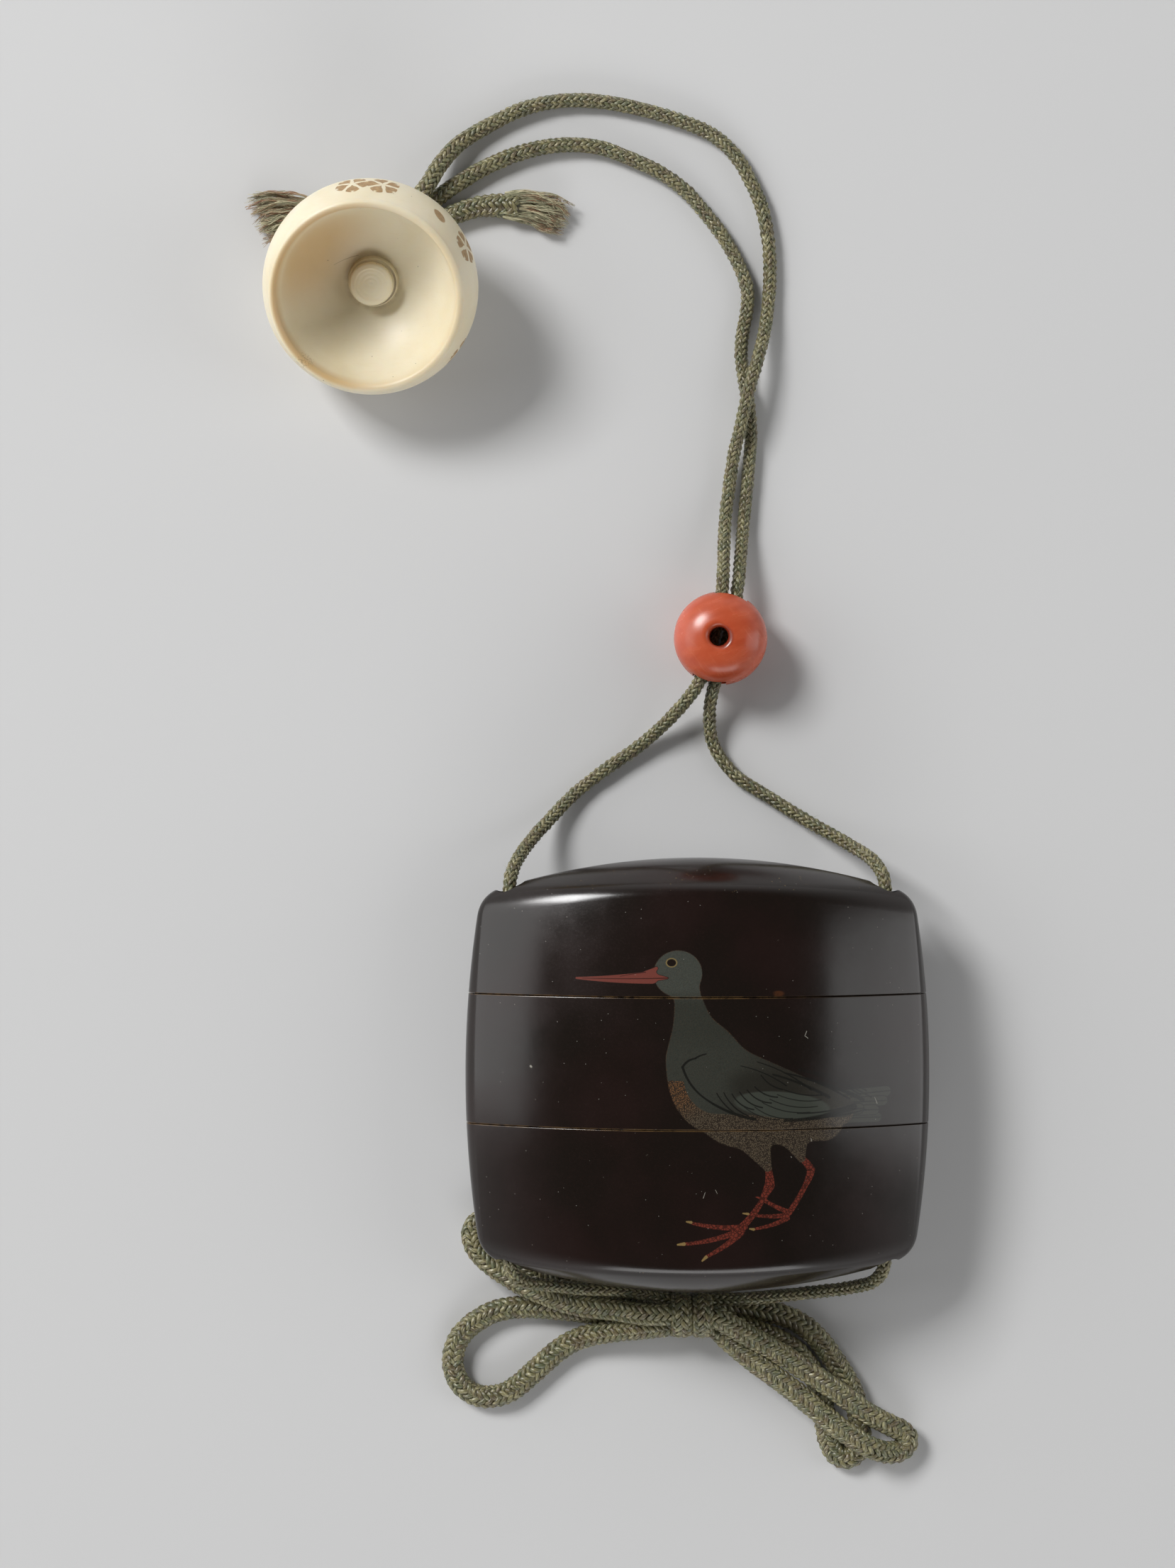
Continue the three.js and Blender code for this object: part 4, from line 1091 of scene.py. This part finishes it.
def bowl_height(radius):
    floor = NETSUKE["height"] - NETSUKE["bowl_depth"]
    return floor + BOWL_CURVE - math.sqrt(BOWL_CURVE ** 2 - radius ** 2)


BOSS_TOP = bowl_height(NETSUKE["boss_radius"]) + NETSUKE["boss_height"]


def bowl_profile():
    n = NETSUKE
    under = [(n["rest_radius"] + (n["radius"] - n["rest_radius"]) * math.sin(a),
              n["widest_at"] * (1 - math.cos(a))) for a in np.linspace(0, math.pi / 2, 24)]
    turn = math.acos(n["rim_radius"] / n["radius"])
    rise = n["height"] - 0.6 - n["widest_at"]
    side = [(n["radius"] * math.cos(t * turn),
             n["widest_at"] + rise * math.sin(t * turn) / math.sin(turn))
            for t in np.linspace(0, 1, 12)[1:-1]]
    # the rim is a small round between the outside and the bowl
    middle = (n["rim_radius"] + n["bowl_radius"]) / 2
    half = (n["rim_radius"] - n["bowl_radius"]) / 2 + 0.12
    rim = [(middle + half * math.cos(a), n["height"] - 0.62 + 0.62 * math.sin(a))
           for a in np.linspace(0, math.pi, 13)]
    dish = [(radius, bowl_height(radius)) for radius in np.linspace(
        n["bowl_radius"] - 0.45, n["boss_radius"] + 0.5, 30)]
    boss = [
        (n["boss_radius"] + 0.16, bowl_height(n["boss_radius"]) + 0.10),
        (n["boss_radius"] + 0.02, bowl_height(n["boss_radius"]) + 0.34),
        (n["boss_radius"], BOSS_TOP - 0.35), (n["boss_radius"] - 0.08, BOSS_TOP - 0.12),
        (n["boss_radius"] - 0.3, BOSS_TOP), (n["bore"] + 0.1, BOSS_TOP),
        (n["bore"], BOSS_TOP - 0.1), (n["bore"], n["cord_hole_depth"]),
        (n["cord_hole"], n["cord_hole_depth"]), (n["cord_hole"], 0.3),
        (n["cord_hole"] + 0.3, 0.0),
    ]
    return [*under, *side, *rim, *dish, *boss, under[0]]


def stud_profile():
    s = STUD
    seat = BOSS_TOP + 0.12
    top = seat + s["cap"] + 0.18
    foot = NETSUKE["cord_hole_depth"] + 0.5
    face = [(r, top - s["dish"] * (1 - (r / s["dish_radius"]) ** 2)
             + 0.018 * math.cos(r * 9.0)) for r in np.linspace(s["dish_radius"], 0, 26)]
    return [
        (0, foot), (s["stem"], foot), (s["stem"], seat), (s["radius"] - 0.25, seat),
        (s["radius"] - 0.06, seat + 0.08), (s["radius"], seat + 0.3),
        (s["radius"], top - 0.4), (s["radius"] - 0.08, top - 0.15),
        (s["radius"] - 0.25, top - 0.03), (s["radius"] - 0.45, top),
        (s["dish_radius"] + 0.12, top - 0.01), *face,
    ]


def bead_profile():
    b = BEAD

    def height(radius):
        share = min(1.0, radius / b["radius"])
        return b["half_thickness"] * (1 - share ** b["fullness"]) ** (1 / b["fullness"])

    face = [(b["mouth"] + (b["radius"] - b["mouth"]) * math.sin(a)) for a in np.linspace(
        0, math.pi / 2, 26)]
    face = [(radius, height(radius)) for radius in face]
    top = height(b["mouth"])
    sink = [(b["hole"] + (b["mouth"] - b["hole"]) * (1 - math.cos(a)),
             top - b["countersink"] * (1 - math.sin(a)))
            for a in np.linspace(0, math.pi / 2, 9)[:-1]]
    upper = [*sink, *face]
    lower = [(radius, -high) for radius, high in reversed(upper[:-1])]
    return [*upper, *lower, upper[0]]


def bead_place():
    b = BEAD
    turn = Matrix.Rotation(b["turn"], 4, "Z") @ Matrix.Rotation(b["lean"], 4, "Y")
    lowest = min((turn @ Vector((r * math.cos(a), r * math.sin(a), h))).z
                 for r, h in bead_profile() for a in (0, math.pi))
    return Matrix.Translation((*b["centre"], -lowest)) @ turn


BLOSSOM_RADIUS = 17.0  # of the netsuke's side, where the blossoms lie
# Blossoms on the netsuke's side: degrees round the bowl, height, petal length, turn in degrees.
BLOSSOMS = (
    (97.0, 11.2, 2.8, 12.0), (80.5, 11.3, 2.8, 40.0), (24.0, 11.0, 2.8, 62.0),
    (-36.0, 10.4, 2.8, 10.0), (-66.0, 9.0, 2.8, 50.0), (-104.0, 8.0, 2.8, 25.0),
    (-150.0, 7.6, 2.7, 5.0), (168.0, 7.4, 2.8, 35.0),
)
# One petal that lies by itself: degrees, height, half its length and width.
PETAL = (46.0, 12.2, 1.35, 0.9)


def ivory():
    settings = bpy.context.scene.inro_finish
    finish = Finish("carved ivory")
    place = finish.place()
    spot = netsuke_place()
    local = finish.mapped(place, tuple(spot.to_translation()), tuple(spot.to_euler()))
    x, y, z = finish.parts(local)
    radius = (x * x + y * y).root()
    angle = y.math("ARCTAN2", x)

    soft = finish.noise(place, 0.09, 3.0).above(0.35, 0.7)
    colour = finish.mix(soft, tuple(settings.ivory), tuple(settings.ivory_aged))
    grain = finish.noise(finish.mapped(local, scale=(3.0, 0.35, 0.8)), 1.1, 3.0, 0.6)
    colour = finish.mix(grain.above(0.5, 0.8) * 0.12, colour, paint(206, 186, 140))

    # the inside is brown at the upper left, partly an age stain and partly painted shade on the walls
    # turned away from the light; age has also left a translucent yellow rim
    hollow = z.above(16.2, 15.0) * radius.above(14.6, 13.6)
    wall = finish.mapped(local, (-8.6, 5.4, 10.0), (0, 0, 0.6), (12.5, 9.6, 9.0))
    stain_and_shade = finish.vector("LENGTH", wall).above(1.2, 0.25)
    colour = finish.mix(stain_and_shade * hollow * 0.7, colour, paint(190, 152, 94))
    rim = abs(radius - 14.7).above(0.9, 0.1) * z.above(13.6, 14.8)
    left = x.above(6.0, -8.0)
    colour = finish.mix(rim * (left * 0.5 + 0.18), colour, paint(190, 150, 84))

    # dirt round the boss, painted shadow in the gap on the stud's lower right, dark specks, a
    # hairline crack
    ring = abs(radius - 4.35).above(0.75, 0.1) * z.above(7.4, 5.6) * hollow
    colour = finish.mix(ring * (finish.noise(place, 0.8).above(0.3, 0.7) * 0.25 + 0.05),
                        colour, paint(150, 126, 84))
    # painted shadow in the gap between stud and boss, on its lower right side only
    gap_shadow = abs(radius - 3.72).above(0.22, 0.1) * z.above(4.6, 5.2) * z.above(7.6, 7.2)
    colour = finish.mix(gap_shadow * (x - y).above(-2.0, 3.0) * 0.7, colour, paint(92, 72, 44))
    specks = finish.cells(place, 0.42).above(0.05, 0.025)
    colour = finish.mix(specks * 0.8, colour, paint(74, 56, 36))
    lower_left = finish.mapped(local, (-10.6, -10.6, 15.6), scale=(2.6, 2.0, 2.2))
    grime = finish.vector("LENGTH", lower_left).above(1.0, 0.3)
    colour = finish.mix(grime * finish.noise(place, 3.2, 3.0).above(0.50, 0.64) * 0.45,
                        colour, paint(110, 84, 50))
    line = Picture(x, y).stroke((-6.2, 2.9), (-2.3, 4.3), 0.03, 0.06, 0.15)
    colour = finish.mix(inside(line, 0.05) * hollow * 0.55, colour, paint(110, 88, 56))

    # cherry blossoms in gold-brown, notched at the tip of each petal
    blossom = None
    for degrees, height, petal, roll in BLOSSOMS:
        away = (angle - math.radians(degrees)).math("WRAP", math.pi, -math.pi)
        across, up = away * BLOSSOM_RADIUS, z - height
        reach = (across * across + up * up).root()
        facing = (up.math("ARCTAN2", across) + math.radians(roll)) * (5 / TURN)
        petal_share = abs((facing + 10.0).part() - 0.5) * 2  # 0 in the middle of a petal
        width = reach.above(0.0, petal * 0.62) * reach.above(petal * 1.06, petal * 0.85)
        width = width * 0.84
        notch = petal_share.above(0.26, 0.0) * reach.above(petal * 0.80, petal * 0.92)
        flower = (width - petal_share).above(0.0, 0.10) * (1 - notch)
        flower = flower * reach.above(petal * 0.15, petal * 0.2)
        blossom = flower if blossom is None else blossom.highest(flower)
    degrees, height, long_half, short_half = PETAL
    single = Picture((angle - math.radians(degrees)) * BLOSSOM_RADIUS, z - height)
    blossom = blossom.highest(inside(single.ellipse((0, 0), (long_half, short_half), -30), 0.1))
    outer = radius.above(14.9, 15.3) * z.above(2.0, 3.0)
    gold = finish.mix(finish.noise(place, 1.6, 3.0).above(0.3, 0.8),
                      paint(146, 112, 70), paint(178, 146, 100))
    colour = finish.mix(blossom * outer * 0.92, colour, gold)

    roughness = 0.42 + stain_and_shade * 0.08 + blossom * outer * 0.12
    height = finish.noise(place, 0.5, 3.0) * 0.02 + blossom * outer * -0.03
    return finish.surface(
        Base_Color=colour, Roughness=roughness, Subsurface_Weight=0.35,
        Subsurface_Radius=(1.0, 0.72, 0.42), Subsurface_Scale=1.6 * MM,
        Normal=finish.bump(height, 1.0, 0.6))


def coral():
    settings = bpy.context.scene.inro_finish
    finish = Finish("red coral")
    place = finish.place()
    cx, cy = BEAD["centre"]
    local = finish.mapped(place, (cx, cy, 6.0), (0, 0, BEAD["turn"]))
    x, y, _ = finish.parts(local)
    radius = (x * x + y * y).root()
    flow = finish.noise(finish.mapped(local, (0, 0, 0), (0, 0, 0.6), (3.0, 1.0, 1.6)), 0.5, 4.0)
    colour = finish.mix(flow.above(0.3, 0.7), tuple(settings.coral), tuple(settings.coral_pale))
    pink = (x * -0.16 + radius * 0.06 - 0.9).above(0.0, 1.0)
    colour = finish.mix(pink * 0.7, colour, paint(208, 114, 98))
    veins = finish.noise(finish.mapped(local, (0, 0, 0), (0, 0, 0.9), (0.35, 4.0, 1.0)), 0.8, 3.0)
    colour = finish.mix(veins.above(0.56, 0.76) * 0.16, colour, paint(220, 138, 100))
    # painted shade inside the hole
    hole = radius.above(2.2, 1.4)
    colour = finish.mix(hole * 0.8, colour, paint(96, 24, 14))
    pits = finish.cells(place, 0.75).above(0.05, 0.02)
    colour = finish.mix(pits * 0.7, colour, paint(120, 40, 26))
    height = flow * 0.02 - pits * 0.05
    return finish.surface(
        Base_Color=colour, Roughness=0.2 + flow * 0.12 + pits * 0.3, Subsurface_Weight=0.2,
        Subsurface_Radius=(1.0, 0.3, 0.2), Subsurface_Scale=1.0 * MM,
        Normal=finish.bump(height, 1.0, 0.5))


# ---------------------------------------------------------------- settings and operators

class InroCordSettings(bpy.types.PropertyGroup):
    """Sizes of the cord."""

    long_width: FloatProperty(
        name="Long cord", description="Width of the two long cords", default=2.4, min=1.5, max=4)
    bow_width: FloatProperty(
        name="Bow cord", description="Width of the slack loops", default=3.9, min=2, max=5)
    bow_height: FloatProperty(
        name="Bow height", description="Thickness of the loops", default=2.9, min=1.5, max=5)
    hairs: FloatProperty(
        name="Hairs", description="Loose hairs on each millimetre of cord", default=1.3, min=0)
    seed: IntProperty(name="Seed", description="Start of the random draws", default=11)
    moss: FloatVectorProperty(
        name="Moss", description="Darker silk", subtype="COLOR", default=paint(94, 97, 68))
    straw: FloatVectorProperty(
        name="Straw", description="Paler silk", subtype="COLOR", default=paint(128, 121, 85))


class InroFinishSettings(bpy.types.PropertyGroup):
    """Colours of the hard pieces."""

    lacquer: FloatVectorProperty(
        name="Lacquer", description="Ground of the case", subtype="COLOR",
        default=paint(23, 17, 13))
    lacquer_cloud: FloatVectorProperty(
        name="Lacquer clouds", description="Redder places in the lacquer", subtype="COLOR",
        default=paint(30, 18, 15))
    ivory: FloatVectorProperty(
        name="Ivory", description="Fresh ivory", subtype="COLOR", default=paint(228, 219, 194))
    ivory_aged: FloatVectorProperty(
        name="Aged ivory", description="Yellower ivory", subtype="COLOR",
        default=paint(221, 209, 178))
    coral: FloatVectorProperty(
        name="Coral", description="The bead", subtype="COLOR", default=paint(174, 72, 42))
    coral_pale: FloatVectorProperty(
        name="Pale coral", description="Paler bands of the bead", subtype="COLOR",
        default=paint(190, 88, 56))


class InroStageSettings(bpy.types.PropertyGroup):
    """The floor and the light."""

    floor: FloatVectorProperty(
        name="Floor", description="Colour of the floor", subtype="COLOR", default=(0.62,) * 3)
    light: FloatProperty(name="Light", description="Strength of all the lights", default=1.0)
    horizon: FloatProperty(
        name="Horizon", description="Glow of the room low down, fading upwards", default=0.8)
    overhead: FloatProperty(
        name="Overhead", description="Glow of the room straight above", default=0.05)


def random_for(name):
    seed = bpy.context.scene.inro_cord.seed
    return np.random.default_rng([seed, *name.encode()])


def cord_materials():
    known = bpy.data.materials.get("braided silk")
    if known:
        return [known, bpy.data.materials["painted shade inside the braid"],
                bpy.data.materials["loose threads"]]
    return [braid_finish(), shade_core_finish(), loose_finish()]


def make_cord(name, node, width, height, twist):
    settings = bpy.context.scene.inro_cord
    random = random_for(name)
    line = curve_through(ROUTES[node], BRAID["step"])
    threads = Threads()
    half_width, half_height = width / 2, height / 2
    if node in SLACK:
        far, half = np.array(SLACK[node]).T
        half_width = np.interp(np.arange(len(line)) * BRAID["step"], far, half) * width / 2.4
        half_height = np.minimum(half_width, 1.3)
    braid(threads, line, half_width, half_height, random, twist=twist)
    fuzz(threads, line, half_width, random, settings.hairs)
    piece = finish_piece(link(name, threads.mesh(name)), cord_materials(), node, None)
    return piece


# The camera looks straight down: focal length and sensor in millimetres, place in millimetres.
CAMERA = {"lens": 70.5, "sensor": 36.0, "place": (-17.75, 47.0, 510.0)}
AIM = Vector((-0.015, 0.047, 0.0))  # what the lights face, in metres
FLOOR_SIZE = 3000

# Four soft lights: name, place in metres, width and height in metres, power in watts. The main
# one is at the upper left, and overhead it is dark.
LIGHTS = (
    ("key", (-1.05, 0.95, 1.15), 0.55, 0.55, 26.0),
    ("left", (-1.5, 0.3, 0.8), 1.2, 0.9, 6.0),
    ("right", (1.35, 0.0, 0.42), 0.7, 1.8, 6.0),
    ("front", (0.1, -1.5, 0.7), 1.4, 0.6, 8.0),
)


class INRO_OT_stage(bpy.types.Operator):
    """Make the camera, the lights and the pale floor"""

    bl_idname = "inro.stage"
    bl_label = "Camera, light and floor"

    def execute(self, context):
        settings = context.scene.inro_stage
        camera = bpy.data.cameras.new("camera")
        camera.lens = CAMERA["lens"]
        camera.sensor_width = CAMERA["sensor"]
        camera.clip_start, camera.clip_end = 0.01, 20.0
        eye = link("camera", camera)
        eye.location = Vector(CAMERA["place"]) * MM
        context.scene.camera = eye

        for name, spot, wide, high, power in LIGHTS:
            light = bpy.data.lights.new(name, "AREA")
            light.shape = "RECTANGLE"
            light.size, light.size_y = wide, high
            light.energy = power * settings.light
            lamp = link(name, light)
            lamp.location = spot
            lamp.rotation_mode = "QUATERNION"
            lamp.rotation_quaternion = (AIM - lamp.location).to_track_quat("-Z", "Y")

        world = bpy.data.worlds.new("studio")
        world.use_nodes = True
        context.scene.world = world
        tree = world.node_tree
        background = tree.nodes["Background"]
        where = tree.nodes.new("ShaderNodeTexCoord")
        split = tree.nodes.new("ShaderNodeSeparateXYZ")
        ramp = tree.nodes.new("ShaderNodeMapRange")
        ramp.interpolation_type = "SMOOTHSTEP"
        ramp.inputs["From Min"].default_value = 0.0
        ramp.inputs["From Max"].default_value = 0.8
        ramp.inputs["To Min"].default_value = settings.horizon
        ramp.inputs["To Max"].default_value = settings.overhead
        tree.links.new(where.outputs["Generated"], split.inputs[0])
        tree.links.new(split.outputs[2], ramp.inputs[0])
        tree.links.new(ramp.outputs[0], background.inputs["Strength"])
        background.inputs["Color"].default_value = (1, 1, 1, 1)

        bm = bmesh.new()
        bmesh.ops.create_grid(bm, x_segments=1, y_segments=1, size=FLOOR_SIZE)
        floor = link("floor", mesh_from(bm, "floor"))
        finish = Finish("pale floor")
        speckle = finish.noise(finish.place(), 0.02, 3.0).above(0.3, 0.7) * 0.02
        tint = tuple(settings.floor)
        colour = finish.mix(speckle, tint, (0.5, 0.5, 0.5))
        floor.data.materials.append(finish.surface(Base_Color=colour, Roughness=0.85))
        context.scene.view_settings.view_transform = "Standard"
        return {"FINISHED"}


class INRO_OT_cords(bpy.types.Operator):
    """Make the two long cords and the two frayed ends"""

    bl_idname = "inro.cords"
    bl_label = "Long cords"

    def execute(self, context):
        width = context.scene.inro_cord.long_width
        for node, end in ENDS.items():
            random = random_for(node)
            line = curve_through(end["route"], BRAID["step"])
            threads = Threads()
            half = end["half_widths"]
            half = np.interp(np.linspace(0, 1, len(line)), np.linspace(0, 1, len(half)), half)
            braid(threads, line, half, 1.45, random, twist=0.4)
            fuzz(threads, line, half, random, 3.0)
            tuft(threads, end["fan"], end["fan_half_widths"], random)
            piece = link(node.replace("cord_end", "frayed_end"), threads.mesh(node))
            finish_piece(piece, cord_materials(), node, None)
        make_cord("long_cord_left", "cord_left", width, width, 1.2)
        make_cord("long_cord_right", "cord_right", width, width, -0.8)
        return {"FINISHED"}


class INRO_OT_bow(bpy.types.Operator):
    """Make the four loops of the bow and the turns of cord that tie it"""

    bl_idname = "inro.bow"
    bl_label = "Bow"

    def execute(self, context):
        settings = context.scene.inro_cord
        random = random_for("bow_knot")
        centre = np.array(KNOT["centre"])
        thick = 0.95
        high = KNOT["half_height"] - thick
        wide = KNOT["half_width"] - thick
        # two full turns, the second beside the first
        angle = np.linspace(-0.95 * math.pi, 2.95 * math.pi, 60)
        aside = np.tanh((angle - math.pi) * 1.6) * KNOT["half_length"] / 2
        line = centre + np.stack(
            [aside, -wide * np.sin(angle), high * np.cos(angle)], axis=1)
        threads = Threads()
        line = curve_through(line, BRAID["step"])
        away = (line - centre) * (0, 1, 1)
        braid(threads, line, 1.9, thick, random, hint=away, twist=0.5)
        fuzz(threads, line, 1.0, random, 3.0)
        knot = finish_piece(link("bow_turns", threads.mesh("bow_turns")), cord_materials(),
                            "bow_knot", None)
        for node, twist in (("bow_loop_left_small", 0.8), ("bow_loop_left_large", -1.2),
                            ("bow_loop_right_upper", 0.9), ("bow_loop_right_lower", -0.7)):
            make_cord(node + "_braid", node, settings.bow_width, settings.bow_height, twist)
        return {"FINISHED"}


class INRO_OT_case(bpy.types.Operator):
    """Make the lid, the middle case and the bottom case with their painted lacquer"""

    bl_idname = "inro.case"
    bl_label = "Lacquer case"

    def execute(self, context):
        material = lacquer()
        for name, node, rings in (
                ("lacquer_lid", "inro_lid", lid_rings()),
                ("lacquer_middle", "inro_middle_case", middle_rings()),
                ("lacquer_bottom", "inro_bottom_case", bottom_rings())):
            piece = link(name, case_section(rings))
            piece.data.name = name
            finish_piece(piece, [material], node, math.radians(35))
        return {"FINISHED"}


class INRO_OT_netsuke(bpy.types.Operator):
    """Make the ivory bowl and its stud"""

    bl_idname = "inro.netsuke"
    bl_label = "Netsuke"

    def execute(self, context):
        place = netsuke_place()
        material = ivory()
        for name, node, profile in (("ivory_bowl", "netsuke_bowl", bowl_profile()),
                                    ("ivory_stud", "netsuke_stud", stud_profile())):
            # the stud sits a little to one side in its boss
            aside = Matrix.Translation((-0.12 if name == "ivory_stud" else 0.0, 0, 0))
            piece = link(name, mesh_from(spun(profile, 144), name, place @ aside))
            finish_piece(piece, [material], node)
        return {"FINISHED"}


class INRO_OT_bead(bpy.types.Operator):
    """Make the coral bead with its countersunk hole and its passage for the cords"""

    bl_idname = "inro.bead"
    bl_label = "Bead"

    def execute(self, context):
        b = BEAD
        place = bead_place()
        body = mesh_from(spun(bead_profile(), 128), "bead", place)
        bm = bmesh.new()
        bmesh.ops.create_cube(bm, size=1)
        size = Matrix.Diagonal((b["passage_width"], 3 * b["radius"], b["passage_height"], 1))
        passage = mesh_from(bm, "passage", place @ size)
        piece = link("coral_bead", cut(body, [passage]))
        finish_piece(piece, [coral()], "ojime_bead")
        return {"FINISHED"}


class INRO_PT_panel(bpy.types.Panel):
    """Lists the pieces and their settings"""

    bl_label = "Inro"
    bl_space_type = "VIEW_3D"
    bl_region_type = "UI"
    bl_category = "Inro"

    def draw(self, context):
        scene = context.scene
        for settings in (scene.inro_cord, scene.inro_finish, scene.inro_stage):
            for key in settings.__annotations__:
                self.layout.prop(settings, key)
        for operator in OPERATORS:
            self.layout.operator(operator.bl_idname)


OPERATORS = (
    INRO_OT_stage, INRO_OT_cords, INRO_OT_bow, INRO_OT_case, INRO_OT_netsuke, INRO_OT_bead)
CLASSES = (
    InroCordSettings, InroFinishSettings, InroStageSettings, *OPERATORS, INRO_PT_panel)


def register():
    for each in CLASSES:
        bpy.utils.register_class(each)
    bpy.types.Scene.inro_cord = PointerProperty(type=InroCordSettings)
    bpy.types.Scene.inro_finish = PointerProperty(type=InroFinishSettings)
    bpy.types.Scene.inro_stage = PointerProperty(type=InroStageSettings)


def unregister():
    del bpy.types.Scene.inro_stage
    del bpy.types.Scene.inro_finish
    del bpy.types.Scene.inro_cord
    for each in reversed(CLASSES):
        bpy.utils.unregister_class(each)


def main():
    register()
    bpy.ops.inro.stage()
    bpy.ops.inro.cords()
    bpy.ops.inro.bow()
    bpy.ops.inro.case()
    bpy.ops.inro.netsuke()
    bpy.ops.inro.bead()


if __name__ == "__main__":
    main()
